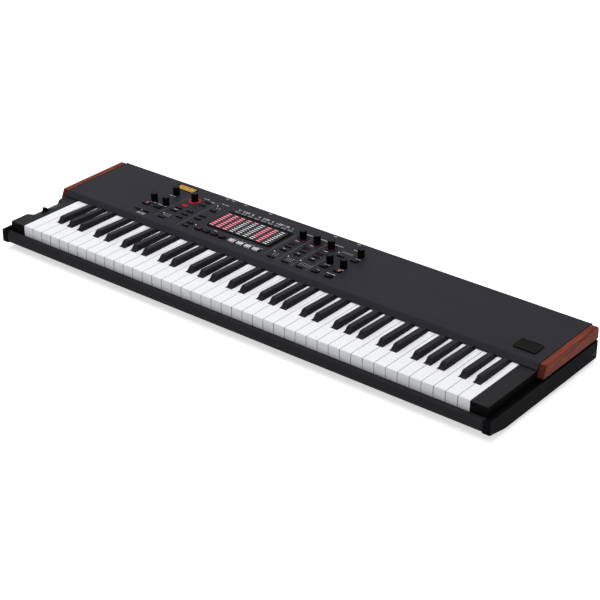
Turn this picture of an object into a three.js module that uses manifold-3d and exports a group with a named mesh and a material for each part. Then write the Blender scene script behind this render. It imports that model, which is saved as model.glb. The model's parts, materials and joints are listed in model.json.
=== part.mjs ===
import * as THREE from "three";
import { ConvexGeometry } from "three/addons/geometries/ConvexGeometry.js";
import { mergeVertices } from "three/addons/utils/BufferGeometryUtils.js";
import Module from "manifold-3d";

// A 73-key combo organ with waterfall keys, a lit drawbar window, wooden cheeks and a folded steel case.
// Millimetres. +X is the player's right, +Y is away from the player, +Z is up.
// The origin is on the floor, under the middle of the case.

const wasm = await Module();
wasm.setup();

// Driving dimensions of the keyboard
const octaveWidth = 164.5;
const whitesPerOctave = 7;
const firstWhite = 2;
const combsPerSet = 3;
const whitesInSet = [5, 7, 7, 7, 7, 10];
const keyDipDegrees = 2.8;
const whitePitch = octaveWidth / whitesPerOctave;
const whiteCount = whitesInSet.reduce((sum, count) => sum + count, 0);
const keyboardWidth = whitePitch * whiteCount;

// Where the black keys stand: the white key on their left, counted from C, and how far off the joint they sit
const blackPlaces = [
  { after: 0, offsetShare: -0.1 },
  { after: 1, offsetShare: 0.1 },
  { after: 3, offsetShare: -0.13 },
  { after: 4, offsetShare: 0 },
  { after: 5, offsetShare: 0.13 },
];

// Driving dimensions of the case
const footHeight = 8;
const blockWidth = 33.6;
const seatGap = 0.3;
const sidePanelWidth = 13.4;
const cut = 5;
const weld = 1e-4;

// Distances behind the front of the side panels
const depth = {
  rail: 1.5,
  keyFront: 15.7,
  underSlopeEnd: 49,
  crease: 168.6,
};

// Distances from the crease, and what stands behind the panel
const panel = {
  fasciaLean: 10.9,
  length: 169.7,
  sidesBehind: 2.1,
};

// Heights above the underside of the case
const height = {
  railFoot: 9,
  railTop: 30.5,
  railTopRear: 29.3,
  sideFrontFoot: 8.7,
  sideTop: 33.3,
  keyTop: 49.2,
  fasciaFoot: 50.3,
  crease: 60.1,
  panelRear: 62.1,
  panelLip: 55.1,
  woodFoot: 37.6,
};

const white = {
  gap: 1,
  lipHeight: 21.9,
  lipThickness: 3,
  thickness: 11.4,
  edgeRadius: 1.6,
};

const black = {
  front: 50,
  baseWidth: 13.7,
  topWidth: 9.6,
  frontRise: 10.2,
  rearRise: 7.6,
  footLength: 4.4,
  footRise: 1,
  noseLength: 9.4,
  noseRound: 4.5,
  rearMargin: 6,
  tailDrop: 0.5,
  gap: 0.8,
};

// The rear of each moulded key set: arms that run back to a shared bar with a pivot at each end
const comb = {
  underPanel: 8,
  webLength: 7,
  armLength: 45,
  barHalf: 5,
  armThickness: 3.5,
  levelStep: 5,
  topLevel: 43.3,
  pivotRadius: 1.6,
  pivotGap: 0.3,
  pivotReach: 2.1,
  endGap: 0.4,
};

const chassis = {
  sheet: 1.5,
  front: 36,
  rearGap: 12,
  plate: 14.8,
  stopGap: 0.3,
  hingeBlockWidth: 5,
  hingeBlockHalf: 7,
  hingeBlockTopRim: 1.5,
  footLength: 12,
};

const contactBoard = {
  front: 66,
  rear: 112,
  thickness: 1.6,
  lift: 4.5,
  stripFront: 76,
  stripRear: 88,
  stripGap: 1,
  spacerRadius: 3,
  spacersPerBoard: 6,
  endInset: 8,
};

const sheet = {
  topPanel: 2,
  rail: 2.5,
  tray: 1.5,
  rearPanel: 2,
  rearSlit: 1.6,
};

const bend = {
  crease: 7,
  rearEdge: 2.5,
  fasciaReturn: 6,
  rail: 2.2,
  railFootLength: 10.2,
  tray: 3,
};

const side = {
  footChamfer: 2,
  topRound: 1.5,
  cornerRound: 4,
  rimWidth: 2.4,
  gutterDepth: 4.2,
  gutterFront: 3,
  gutterBlend: 5,
  ledgeInset: 3,
  ledgeFrontGap: 4,
  ledgeRearGap: 3,
};

const wood = {
  fasciaInset: 0.4,
  frontLean: 9.6,
  rearInset: 0.4,
  topLift: 0.5,
  rearRound: 8,
  frontRound: 2.5,
  footRound: 1.5,
  bevel: 1.2,
};

const block = {
  front: 15,
  frontRound: 1.2,
  scoopStart: 56.2,
  scoopRampEnd: 74.4,
  scoopFloorEnd: 136,
  scoopEnd: 141,
  scoopDepth: 8.6,
  scoopSteps: 6,
  scoopCurveShare: 2,
  scoopRunout: 0.6,
  keySideMargin: 3,
};

const lever = {
  fromFront: 90,
  thickness: 6.6,
  drumRadius: 15,
  surfaceDrop: 1.6,
  slotHalfLength: 16.5,
  hubRadius: 4.5,
  axleRadius: 1.6,
  axleReach: 3,
  finHeight: 9.6,
  finFront: 9.4,
  finRear: 12,
  crownFront: 5.6,
  crownRear: 1.2,
  crownDrop: 0.8,
  crownRound: 1.5,
};

// Columns of controls, from the left end of the keyboard
const column = {
  leftKnobA: 132,
  leftKnobB: 162,
  leftButtonA: 127,
  leftButtonB: 157,
  leftSmallA: 132,
  leftSmallB: 152,
  voice: 191,
  ringKnob: 195,
  pageKnob: 147,
  split: 219.5,
  rotor: 252.3,
  effectA: 461,
  effectPitch: 33,
  masterPitch: 31,
};

// Rows of controls, as shares of the panel's length
const rowShares = {
  preset: 0.165,
  small: 0.136,
  smallNext: 0.218,
  smallMid: 0.256,
  large: 0.298,
  largeLow: 0.162,
  largeMid: 0.312,
  pair: 0.345,
  pairNext: 0.433,
  knobLow: 0.407,
  knobMid: 0.418,
  pageLow: 0.607,
  page: 0.648,
  pageHigh: 0.742,
  knobHigh: 0.684,
  knobTop: 0.698,
  knobFar: 0.728,
};

const presetRow = {
  darkStart: 281.5,
  darkPitch: 19.4,
  lightStart: 365,
  lightPitch: 18.8,
  count: 4,
};

const largeButton = { width: 15, depth: 9, rise: 2.8, taper: 0.6 };
const smallButton = { width: 14, depth: 4.6, rise: 2.4, taper: 0.5 };

const buttonStrip = {
  width: 4.6,
  drop: 1.4,
  thickness: 1.4,
  holeGap: 0.35,
};

const knob = {
  radius: 6.8,
  topRadius: 6.4,
  height: 16.4,
  lift: 0.5,
  rim: 0.8,
  dishRadius: 4.9,
  dishDepth: 0.4,
  shaftRadius: 3,
  shaftLength: 8,
  facets: 12,
};

const drawbarWindow = {
  left: 281.5,
  right: 431.5,
  nearShare: 0.296,
  farShare: 0.701,
  rise: 1.3,
  round: 6,
  flange: 3,
  bodyDepth: 6,
};

const display = {
  left: 119,
  right: 168,
  nearShare: 0.816,
  farShare: 0.928,
  rise: 1,
  round: 1.5,
  flange: 1.5,
  bodyDepth: 5,
};

const panelBoard = {
  leftMargin: 11,
  rightMargin: 21,
  near: 8,
  farInset: 5.7,
  drop: 9.5,
  thickness: 1.6,
  bushWall: 1.7,
  bushGap: 1,
  postRadius: 3,
  postInset: 6,
  postMiddle: 350,
  holeGap: 0.6,
};

const rearHole = {
  jackPlateInset: 209,
  jackPlateWidth: 236,
  jackPlateFoot: 19,
  jackPlateHeight: 25,
  powerInset: 89,
  powerWidth: 50,
  powerFoot: 15,
  powerHeight: 27,
};

const jack = {
  plateThickness: 2.5,
  bodyDepth: 20,
  bodyWidth: 16,
  bodyHeight: 15,
  boreRadius: 3.3,
  boreDepth: 18,
  dinWidth: 20,
  dinRadius: 6.9,
  dinDepth: 9,
  usbBodyWidth: 14,
  usbWidth: 8.8,
  usbHeight: 8,
  usbDepth: 10,
  boardThickness: 1.6,
  boardDepth: 34,
};

// Sockets along the jack plate, as shares of its width
const socketShares = [
  { kind: "jack", share: 0.06 },
  { kind: "jack", share: 0.17 },
  { kind: "jack", share: 0.31 },
  { kind: "jack", share: 0.42 },
  { kind: "jack", share: 0.53 },
  { kind: "din", share: 0.68 },
  { kind: "din", share: 0.81 },
  { kind: "usb", share: 0.93 },
];

const power = {
  bodyDepth: 24,
  flange: 2.5,
  flangeThickness: 1.6,
  inletWidth: 24.4,
  inletHeight: 16.8,
  inletDepth: 16,
  inletChamfer: 4,
  inletShare: 0.33,
  rockerShare: 0.81,
  wellWidth: 14,
  wellHeight: 22.4,
  wellDepth: 13,
  rockerSideGap: 0.3,
  rockerHalfHeight: 9.6,
  rockerBack: 4,
  rockerFaceOut: 4.6,
  rockerFaceMiddle: 3.1,
  rockerDepth: 4.2,
  rockerTiltDegrees: 7,
  axleRadius: 1.5,
  axleReach: 2,
  axleGap: 0.3,
};

const mainBoard = {
  inset: 209,
  width: 240,
  frontGap: 27.3,
  rearGap: 4.3,
  lift: 7,
  thickness: 1.6,
  postRadius: 3,
  postInset: 8,
  chipSize: 26,
  chipRise: 2.4,
};

const supply = {
  inset: 69,
  width: 140,
  frontGap: 13.3,
  rearGap: 6.3,
  height: 32,
  chamfer: 3,
  trayLip: 1.4,
};

const foot = {
  radius: 12.5,
  topRadius: 14,
  edgeRound: 1.2,
  sideInset: 62,
  frontGap: 3,
  rearInset: 32.3,
  bossRadius: 16,
  bossDrop: 1,
  facets: 12,
};

const facets = {
  edge: 1,
  round: 2,
  crease: 3,
  axle: 8,
  pivot: 6,
  bore: 8,
  post: 6,
  drumDegrees: 12,
};

// Positions worked out from the dimensions
const fasciaFoot = depth.crease - panel.fasciaLean;
const panelRear = depth.crease + panel.length;
const caseDepth = panelRear + panel.sidesBehind;
const fromFront = (distance) => distance - caseDepth / 2;
const aboveCase = (rise) => footHeight + rise;
const behindKeys = (distance) => fromFront(depth.keyFront + distance);
const keyboardLeft = -keyboardWidth / 2;
const innerHalf = keyboardWidth / 2 + blockWidth;
const outerHalf = innerHalf + seatGap + sidePanelWidth;
const keyTop = aboveCase(height.keyTop);
const keyUnder = keyTop - white.thickness;
const panelTilt = Math.atan2(height.panelRear - height.crease, panel.length);
const dipSlope = Math.tan(THREE.MathUtils.degToRad(keyDipDegrees));
const trayTop = aboveCase(sheet.tray);
const bodyLength = fasciaFoot - depth.keyFront + comb.underPanel;
const pivotPlace = bodyLength + comb.armLength;
const chassisRear = behindKeys(pivotPlace + chassis.rearGap);
const effectB = column.effectA + column.effectPitch;
const effectC = effectB + column.effectPitch;
const masterA = effectC + column.effectPitch;
const masterB = masterA + column.masterPitch;
const masterSpine = (masterA + masterB) / 2;
const jackPlateLeft = -innerHalf + rearHole.jackPlateInset;
const powerRight = innerHalf - rearHole.powerInset;
const powerLeft = powerRight - rearHole.powerWidth;
const fullCircle = 2 * Math.PI;

// Geometry helpers

// The closed solid of a three.js geometry.
function solid(geometry) {
  const bare = geometry.index ? geometry.toNonIndexed() : geometry.clone();
  bare.deleteAttribute("normal");
  bare.deleteAttribute("uv");
  const merged = mergeVertices(bare, weld);
  const triVerts = new Uint32Array(merged.index.array);
  const made = new wasm.Manifold(
    new wasm.Mesh({ numProp: 3, vertProperties: merged.attributes.position.array, triVerts }),
  );
  if (made.volume() > 0) return made;
  for (let i = 0; i < triVerts.length; i += 3) {
    [triVerts[i + 1], triVerts[i + 2]] = [triVerts[i + 2], triVerts[i + 1]];
  }
  return new wasm.Manifold(
    new wasm.Mesh({ numProp: 3, vertProperties: merged.attributes.position.array, triVerts }),
  );
}

// The three.js geometry of a closed solid.
function geometryOf(body) {
  const mesh = body.getMesh();
  const positions = new Float32Array(mesh.numVert * 3);
  for (let i = 0; i < mesh.numVert; i++) {
    positions.set(mesh.vertProperties.subarray(i * mesh.numProp, i * mesh.numProp + 3), i * 3);
  }
  const geometry = new THREE.BufferGeometry();
  geometry.setAttribute("position", new THREE.BufferAttribute(positions, 3));
  geometry.setIndex(new THREE.BufferAttribute(new Uint32Array(mesh.triVerts), 1));
  const flat = geometry.toNonIndexed();
  flat.computeVertexNormals();
  return flat;
}

const union = (bodies) => bodies.reduce((sum, body) => sum.add(body));
const carve = (body, tools) => tools.reduce((rest, tool) => rest.subtract(tool), body);

// A box between two corners.
function box(low, high) {
  const size = high.map((value, i) => value - low[i]);
  const middle = high.map((value, i) => (value + low[i]) / 2);
  return solid(new THREE.BoxGeometry(...size).translate(...middle));
}

// An outline of [y, z] points drawn out along X.
function prismX(outline, left, right) {
  const shape = new THREE.Shape(outline.map(([y, z]) => new THREE.Vector2(y, z)));
  const geometry = new THREE.ExtrudeGeometry(shape, { depth: right - left, bevelEnabled: false });
  const turn = new THREE.Matrix4().makeBasis(
    new THREE.Vector3(0, 1, 0),
    new THREE.Vector3(0, 0, 1),
    new THREE.Vector3(1, 0, 0),
  );
  return solid(geometry.applyMatrix4(turn).translate(left, 0, 0));
}

// An outline of [x, z] points drawn out along Y.
function prismY(outline, front, rear) {
  const shape = new THREE.Shape(outline.map(([x, z]) => new THREE.Vector2(x, z)));
  const geometry = new THREE.ExtrudeGeometry(shape, { depth: rear - front, bevelEnabled: false });
  return solid(geometry.rotateX(Math.PI / 2).translate(0, rear, 0));
}

// A rounded rectangle drawn up along Z.
function plate(left, right, near, far, bottom, top, round) {
  const shape = new THREE.Shape();
  shape.moveTo(left + round, near);
  shape.lineTo(right - round, near);
  shape.absarc(right - round, near + round, round, -Math.PI / 2, 0);
  shape.lineTo(right, far - round);
  shape.absarc(right - round, far - round, round, 0, Math.PI / 2);
  shape.lineTo(left + round, far);
  shape.absarc(left + round, far - round, round, Math.PI / 2, Math.PI);
  shape.lineTo(left, near + round);
  shape.absarc(left + round, near + round, round, Math.PI, Math.PI + Math.PI / 2);
  const options = { depth: top - bottom, bevelEnabled: false, curveSegments: facets.round };
  return solid(new THREE.ExtrudeGeometry(shape, options).translate(0, 0, bottom));
}

function cylinderX(radius, left, right, y, z, sides) {
  const geometry = new THREE.CylinderGeometry(radius, radius, right - left, sides);
  return solid(geometry.rotateZ(Math.PI / 2).translate((left + right) / 2, y, z));
}

function cylinderY(radius, front, rear, x, z, sides) {
  const geometry = new THREE.CylinderGeometry(radius, radius, rear - front, sides);
  return solid(geometry.translate(x, (front + rear) / 2, z));
}

function cylinderZ(radius, bottom, top, x, y, sides) {
  const geometry = new THREE.CylinderGeometry(radius, radius, top - bottom, sides);
  return solid(geometry.rotateX(Math.PI / 2).translate(x, y, (bottom + top) / 2));
}

// A profile of [radius, z] points turned about Z.
function revolve(profile, sides) {
  const points = profile.map(([radius, z]) => new THREE.Vector2(radius, z));
  return solid(new THREE.LatheGeometry(points, sides).rotateX(Math.PI / 2));
}

// Replaces the inner corners of an open path with arcs of the given radii.
function roundPath(path, radii, steps) {
  const result = [path[0]];
  for (let i = 1; i < path.length - 1; i++) {
    const corner = new THREE.Vector2(...path[i]);
    const before = new THREE.Vector2(...path[i - 1]).sub(corner).normalize();
    const after = new THREE.Vector2(...path[i + 1]).sub(corner).normalize();
    const half = Math.acos(THREE.MathUtils.clamp(before.dot(after), -1, 1)) / 2;
    const reach = radii[i - 1] / Math.tan(half);
    const start = corner.clone().addScaledVector(before, reach);
    const end = corner.clone().addScaledVector(after, reach);
    const inward = before.clone().add(after).normalize();
    const centre = corner.clone().addScaledVector(inward, radii[i - 1] / Math.sin(half));
    const from = start.clone().sub(centre).angle();
    let sweep = end.clone().sub(centre).angle() - from;
    if (sweep > Math.PI) sweep -= fullCircle;
    if (sweep < -Math.PI) sweep += fullCircle;
    for (let k = 0; k <= steps; k++) {
      const angle = from + (sweep * k) / steps;
      result.push([
        centre.x + radii[i - 1] * Math.cos(angle),
        centre.y + radii[i - 1] * Math.sin(angle),
      ]);
    }
  }
  result.push(path[path.length - 1]);
  return result;
}

// The closed outline of a folded sheet: a path, and the same path moved to its right by the thickness.
function foldedSheet(path, thickness) {
  const points = path.map(([y, z]) => new THREE.Vector2(y, z));
  const moved = points.map((point, i) => {
    const into = i ? point.clone().sub(points[i - 1]).normalize() : null;
    const out = i < points.length - 1 ? points[i + 1].clone().sub(point).normalize() : null;
    const first = into || out;
    const second = out || into;
    const normal = new THREE.Vector2(first.y + second.y, -first.x - second.x).normalize();
    const stretch = normal.x * first.y - normal.y * first.x;
    return point.clone().addScaledVector(normal, thickness / stretch);
  });
  return [...path, ...moved.reverse().map((point) => [point.x, point.y])];
}

// The corners of a rectangle at one level.
function rectangleAt(width, deep, x, y, z) {
  return [-1, 1].flatMap((sideX) =>
    [-1, 1].map((sideY) => new THREE.Vector3(x + (sideX * width) / 2, y + (sideY * deep) / 2, z)),
  );
}

// A button cap whose top edge is drawn in all round.
function taperedCap(size, x, y, bottom, top) {
  const drawnIn = 2 * size.taper;
  return solid(
    new ConvexGeometry([
      ...rectangleAt(size.width, size.depth, x, y, bottom),
      ...rectangleAt(size.width, size.depth, x, y, top - size.taper),
      ...rectangleAt(size.width - drawnIn, size.depth - drawnIn, x, y, top),
    ]),
  );
}

// Keyboard

// Every key in order, with its place and the set that it is moulded in.
function layOutKeys() {
  const whites = [];
  const blacks = [];
  let index = 0;
  whitesInSet.forEach((count, set) => {
    for (let i = 0; i < count; i++) {
      const left = keyboardLeft + index * whitePitch;
      whites.push({ set, comb: i % 2, left, right: left + whitePitch });
      const step = (firstWhite + index) % whitesPerOctave;
      const place = blackPlaces.find((item) => item.after === step);
      if (place && index < whiteCount - 1) {
        blacks.push({ set, middle: left + whitePitch * (1 + place.offsetShare) });
      }
      index++;
    }
  });
  return { whites, blacks };
}

const keys = layOutKeys();

// Side outline of a white key, from its waterfall lip back to the shared bar.
function whiteOutline(armBottom) {
  const armTop = armBottom + comb.armThickness;
  const front = behindKeys(0);
  const rear = behindKeys(bodyLength);
  const topLine = roundPath(
    [
      [front, keyTop - white.lipHeight],
      [front, keyTop],
      [rear, keyTop],
    ],
    [white.edgeRadius],
    facets.edge,
  );
  const drop = Math.max(0, keyUnder - armBottom);
  const webFront = drop > 0 ? rear - comb.webLength : rear;
  const armRear = behindKeys(pivotPlace);
  return [
    ...topLine,
    [rear, armTop],
    [armRear, armTop],
    [armRear, armBottom],
    [webFront, armBottom],
    [webFront - drop, keyUnder],
    [front + white.lipThickness, keyUnder],
    [front + white.lipThickness, keyTop - white.lipHeight],
  ];
}

// One white key with the notches that its black neighbours stand in, and an arm that clears the hinge blocks.
function whiteKey(key, armBottom) {
  const left = key.left + white.gap / 2;
  const right = key.right - white.gap / 2;
  const body = prismX(whiteOutline(armBottom), left, right);
  const half = black.baseWidth / 2 + black.gap;
  const low = aboveCase(0);
  const high = keyTop + cut;
  const end = behindKeys(pivotPlace + comb.barHalf);
  const armFront = behindKeys(bodyLength);
  const inset = chassis.hingeBlockWidth / 2 + comb.endGap;
  const notches = keys.blacks
    .filter(({ middle }) => middle + half > left && middle - half < right)
    .map(({ middle }) =>
      box([middle - half, behindKeys(black.front - black.gap), low], [middle + half, end, high]),
    );
  const shoulders = [
    box([key.left, armFront, low], [key.left + inset, end, high]),
    box([key.right - inset, armFront, low], [key.right, end, high]),
  ];
  return carve(body, [...notches, ...shoulders]);
}

// One black key: a side outline with a low foot and a steep, rounded nose, cut to a tapering cross-section.
function blackKey(key, armBottom) {
  const armTop = armBottom + comb.armThickness;
  const front = behindKeys(black.front);
  const rear = behindKeys(bodyLength);
  const armRear = behindKeys(pivotPlace);
  const topRear = fromFront(fasciaFoot - black.rearMargin);
  const tail = keyTop - black.tailDrop;
  const outline = [
    [front, keyUnder],
    [front, keyTop],
    ...roundPath(
      [
        [front + black.footLength, keyTop + black.footRise],
        [front + black.noseLength, keyTop + black.frontRise],
        [topRear, keyTop + black.rearRise],
      ],
      [black.noseRound],
      facets.round,
    ),
    [topRear, tail],
    [rear, tail],
    [rear, armTop],
    [armRear, armTop],
    [armRear, armBottom],
    [rear, armBottom],
    [rear, keyUnder],
  ];
  const base = black.baseWidth / 2;
  const top = black.topWidth / 2;
  const rim = keyTop + black.frontRise;
  const section = [
    [key.middle - base, aboveCase(0)],
    [key.middle + base, aboveCase(0)],
    [key.middle + base, keyTop],
    [key.middle + top, rim],
    [key.middle - top, rim],
    [key.middle - base, keyTop],
  ];
  const length = prismX(outline, key.middle - base, key.middle + base);
  return length.intersect(prismY(section, front - cut, behindKeys(pivotPlace + comb.barHalf + cut)));
}

// The bar that joins a comb's arms, with a pivot at each end.
function combBar(set, armBottom) {
  const members = keys.whites.filter((key) => key.set === set);
  const halfBlock = chassis.hingeBlockWidth / 2 + comb.endGap;
  const left = members[0].left + halfBlock;
  const right = members[members.length - 1].right - halfBlock;
  const reach = comb.endGap + comb.pivotReach;
  const middle = armBottom + comb.armThickness / 2;
  return [
    box(
      [left, behindKeys(pivotPlace - comb.barHalf), armBottom],
      [right, behindKeys(pivotPlace + comb.barHalf), armBottom + comb.armThickness],
    ),
    cylinderX(
      comb.pivotRadius,
      left - reach,
      right + reach,
      behindKeys(pivotPlace),
      middle,
      facets.pivot,
    ),
  ];
}

const combLevel = (steps) => aboveCase(comb.topLevel - steps * comb.levelStep);

// Each set is three combs stacked at the rear: alternate white keys on two, the black keys on the third.
function keyCombs(addTo, finish) {
  whitesInSet.forEach((count, set) => {
    ["a", "b"].forEach((letter, parity) => {
      const level = combLevel(1 + parity);
      const members = keys.whites.filter((key) => key.set === set && key.comb === parity);
      const body = union([...members.map((key) => whiteKey(key, level)), ...combBar(set, level)]);
      addTo(`white_comb_${set + 1}${letter}`, body, finish.whiteKey);
    });
    const level = combLevel(0);
    const members = keys.blacks.filter((key) => key.set === set);
    const body = union([...members.map((key) => blackKey(key, level)), ...combBar(set, level)]);
    addTo(`black_comb_${set + 1}`, body, finish.blackKey);
  });
}

// The keyboard chassis: a folded channel with a stop wall in front and slotted hinge blocks behind.
function keybedChassis() {
  const left = -innerHalf + seatGap;
  const right = innerHalf - seatGap;
  const floor = trayTop + seatGap;
  const plateTop = aboveCase(chassis.plate) + chassis.sheet;
  const stopDrop = (pivotPlace - chassis.front + chassis.sheet) * dipSlope;
  const stopTop = keyUnder - stopDrop - chassis.stopGap;
  const front = behindKeys(chassis.front);
  const rear = chassisRear;
  const shell = union([
    box([left, front, floor], [right, front + chassis.sheet, plateTop]),
    box([keyboardLeft, front, aboveCase(chassis.plate)], [-keyboardLeft, front + chassis.sheet, stopTop]),
    box([left, front, aboveCase(chassis.plate)], [right, rear, plateTop]),
    box([left, rear - chassis.sheet, floor], [right, rear, plateTop]),
    box([left, front, floor], [right, front + chassis.footLength, floor + chassis.sheet]),
    box([left, rear - chassis.footLength, floor], [right, rear, floor + chassis.sheet]),
  ]);
  const top = combLevel(0) + comb.armThickness + chassis.hingeBlockTopRim;
  const joints = [keyboardLeft];
  whitesInSet.forEach((count) => joints.push(joints[joints.length - 1] + count * whitePitch));
  const blocks = joints.map((x) => hingeBlock(x, aboveCase(chassis.plate), top));
  return union([shell, ...blocks]);
}

// One hinge block, with a bore for the pivots at each of the three comb levels.
function hingeBlock(x, bottom, top) {
  const half = chassis.hingeBlockWidth / 2;
  const body = box(
    [x - half, behindKeys(pivotPlace - chassis.hingeBlockHalf), bottom],
    [x + half, behindKeys(pivotPlace + chassis.hingeBlockHalf), top],
  );
  const bores = Array.from({ length: combsPerSet }, (_, steps) =>
    cylinderX(
      comb.pivotRadius + comb.pivotGap,
      x - half - cut,
      x + half + cut,
      behindKeys(pivotPlace),
      combLevel(steps) + comb.armThickness / 2,
      facets.pivot,
    ),
  );
  return carve(body, bores);
}

// The board under the keys, with the rubber contact strip that each key presses.
function keyContactBoard() {
  const bottom = aboveCase(chassis.plate) + chassis.sheet + contactBoard.lift;
  const top = bottom + contactBoard.thickness;
  const left = keyboardLeft + contactBoard.endInset;
  const right = -left;
  const drop = (pivotPlace - contactBoard.stripFront) * dipSlope;
  const stripTop = keyUnder - drop - contactBoard.stripGap;
  const pitch = (right - left) / contactBoard.spacersPerBoard;
  const middle = behindKeys((contactBoard.front + contactBoard.rear) / 2);
  const spacers = Array.from({ length: contactBoard.spacersPerBoard }, (_, i) =>
    cylinderZ(
      contactBoard.spacerRadius,
      bottom - contactBoard.lift + seatGap,
      top,
      left + (i + 1 / 2) * pitch,
      middle,
      facets.post,
    ),
  );
  return union([
    box([left, behindKeys(contactBoard.front), bottom], [right, behindKeys(contactBoard.rear), top]),
    box(
      [left, behindKeys(contactBoard.stripFront), bottom],
      [right, behindKeys(contactBoard.stripRear), stripTop],
    ),
    ...spacers,
  ]);
}

// Case

// The bottom line of the case, which slopes up towards the front.
function undersideAt(distance) {
  const share = Math.max(0, 1 - distance / depth.underSlopeEnd);
  return height.sideFrontFoot * share;
}

// The middles of the feet, and of the bosses that are stamped into the tray for them.
function footPlaces() {
  const x = outerHalf - foot.sideInset;
  const front = fromFront(depth.underSlopeEnd + foot.frontGap + foot.bossRadius);
  const rear = fromFront(panelRear - foot.rearInset);
  return {
    foot_front_left: [-x, front],
    foot_front_right: [x, front],
    foot_rear_left: [-x, rear],
    foot_rear_right: [x, rear],
  };
}

// The folded tray, with a shallow round boss stamped downwards over each foot.
function bottomTray() {
  const start = depth.rail + bend.railFootLength + seatGap;
  const end = panelRear;
  const path = roundPath(
    [
      [fromFront(end), aboveCase(0)],
      [fromFront(depth.underSlopeEnd), aboveCase(0)],
      [fromFront(start), aboveCase(undersideAt(start))],
      [fromFront(start), aboveCase(height.railFoot + sheet.rail)],
    ],
    [bend.tray, bend.rail],
    facets.round,
  );
  const flat = prismX(foldedSheet(path, sheet.tray), -innerHalf, innerHalf);
  const low = aboveCase(-foot.bossDrop);
  const places = Object.values(footPlaces());
  const bosses = places.map(([x, y]) =>
    cylinderZ(foot.bossRadius, low, aboveCase(sheet.tray / 2), x, y, foot.facets),
  );
  const hollows = places.map(([x, y]) =>
    cylinderZ(foot.bossRadius - sheet.tray, low + sheet.tray, trayTop + cut, x, y, foot.facets),
  );
  return carve(union([flat, ...bosses]), hollows);
}

function frontRail() {
  const path = roundPath(
    [
      [fromFront(depth.rail + bend.railFootLength), aboveCase(height.railFoot)],
      [fromFront(depth.rail), aboveCase(height.railFoot)],
      [fromFront(depth.rail), aboveCase(height.railTop)],
      [fromFront(block.front - seatGap), aboveCase(height.railTopRear)],
    ],
    [bend.rail + sheet.rail, bend.rail + sheet.rail],
    facets.round,
  );
  return prismX(foldedSheet(path, sheet.rail), -innerHalf, innerHalf);
}

// A side panel: the long outline, a rounded front corner, a sunken gutter beside the keys and a ledge for the wood.
function sidePanel(sign) {
  const top = aboveCase(height.sideTop);
  const outline = [
    [fromFront(side.footChamfer), aboveCase(undersideAt(side.footChamfer))],
    [fromFront(depth.underSlopeEnd), aboveCase(0)],
    [fromFront(caseDepth), aboveCase(0)],
    [fromFront(caseDepth), top],
    [fromFront(side.topRound), top],
    [fromFront(0), top - side.topRound],
    [fromFront(0), aboveCase(height.sideFrontFoot + side.footChamfer)],
  ];
  const inner = innerHalf + seatGap;
  const body = prismX(outline, inner, outerHalf);
  const corner = plate(
    0,
    outerHalf,
    fromFront(0),
    fromFront(caseDepth),
    aboveCase(0) - cut,
    top + cut,
    side.cornerRound,
  );
  const woodFront = fromFront(fasciaFoot + wood.fasciaInset);
  const woodRear = fromFront(panelRear - wood.rearInset);
  const rim = outerHalf - side.rimWidth;
  const gutter = prismY(
    [
      [inner - cut, top + cut],
      [inner - cut, top - side.gutterDepth],
      [inner, top - side.gutterDepth],
      [rim - side.gutterBlend, top - side.gutterDepth],
      [rim, top],
      [rim, top + cut],
    ],
    fromFront(side.gutterFront),
    woodFront,
  );
  const ledge = box(
    [inner, woodFront + side.ledgeFrontGap, top - cut],
    [outerHalf - side.ledgeInset, woodRear - side.ledgeRearGap, aboveCase(height.woodFoot) - seatGap],
  );
  const shaped = body.intersect(corner).subtract(gutter).add(ledge);
  return sign > 0 ? shaped : shaped.mirror([1, 0, 0]);
}

// The folded top cover in side view: a short return, the raked fascia, the crease, the panel and the rear lip.
function topPanelSheet() {
  const path = roundPath(
    [
      [fromFront(fasciaFoot + bend.fasciaReturn), aboveCase(height.fasciaFoot)],
      [fromFront(fasciaFoot), aboveCase(height.fasciaFoot)],
      [fromFront(depth.crease), aboveCase(height.crease)],
      [fromFront(panelRear), aboveCase(height.panelRear)],
      [fromFront(panelRear), aboveCase(height.panelLip)],
    ],
    [sheet.topPanel / 2, bend.crease, bend.rearEdge],
    facets.crease,
  );
  return prismX(foldedSheet(path, sheet.topPanel), -innerHalf + seatGap, innerHalf - seatGap);
}

// The rear panel, with a slit between it and the lip of the top.
function rearPanel() {
  const front = fromFront(panelRear - sheet.rearPanel);
  const rear = fromFront(panelRear);
  const body = box(
    [-innerHalf + seatGap, front, trayTop + seatGap],
    [innerHalf - seatGap, rear, aboveCase(height.panelLip) - sheet.rearSlit],
  );
  const jackTop = rearHole.jackPlateFoot + rearHole.jackPlateHeight;
  const powerTop = rearHole.powerFoot + rearHole.powerHeight;
  const openings = [
    box(
      [jackPlateLeft, front - cut, aboveCase(rearHole.jackPlateFoot)],
      [jackPlateLeft + rearHole.jackPlateWidth, rear + cut, aboveCase(jackTop)],
    ),
    box(
      [powerLeft, front - cut, aboveCase(rearHole.powerFoot)],
      [powerRight, rear + cut, aboveCase(powerTop)],
    ),
  ];
  return carve(body, openings);
}

// The side outline of a wooden cheek, drawn in all round by an inset.
function cheekOutline(inset) {
  const foot = aboveCase(height.woodFoot) + inset;
  const topFront = aboveCase(height.crease + wood.topLift) - inset;
  const topRear = aboveCase(height.panelRear + wood.topLift) - inset;
  const front = fromFront(fasciaFoot + wood.fasciaInset) + inset;
  const rear = fromFront(panelRear - wood.rearInset) - inset;
  return roundPath(
    [
      [rear, foot],
      [front, foot],
      [front + wood.frontLean, topFront],
      [rear, topRear],
      [rear, foot],
    ],
    [wood.footRound, wood.frontRound, wood.rearRound].map((radius) => radius - inset),
    facets.crease,
  );
}

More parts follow.
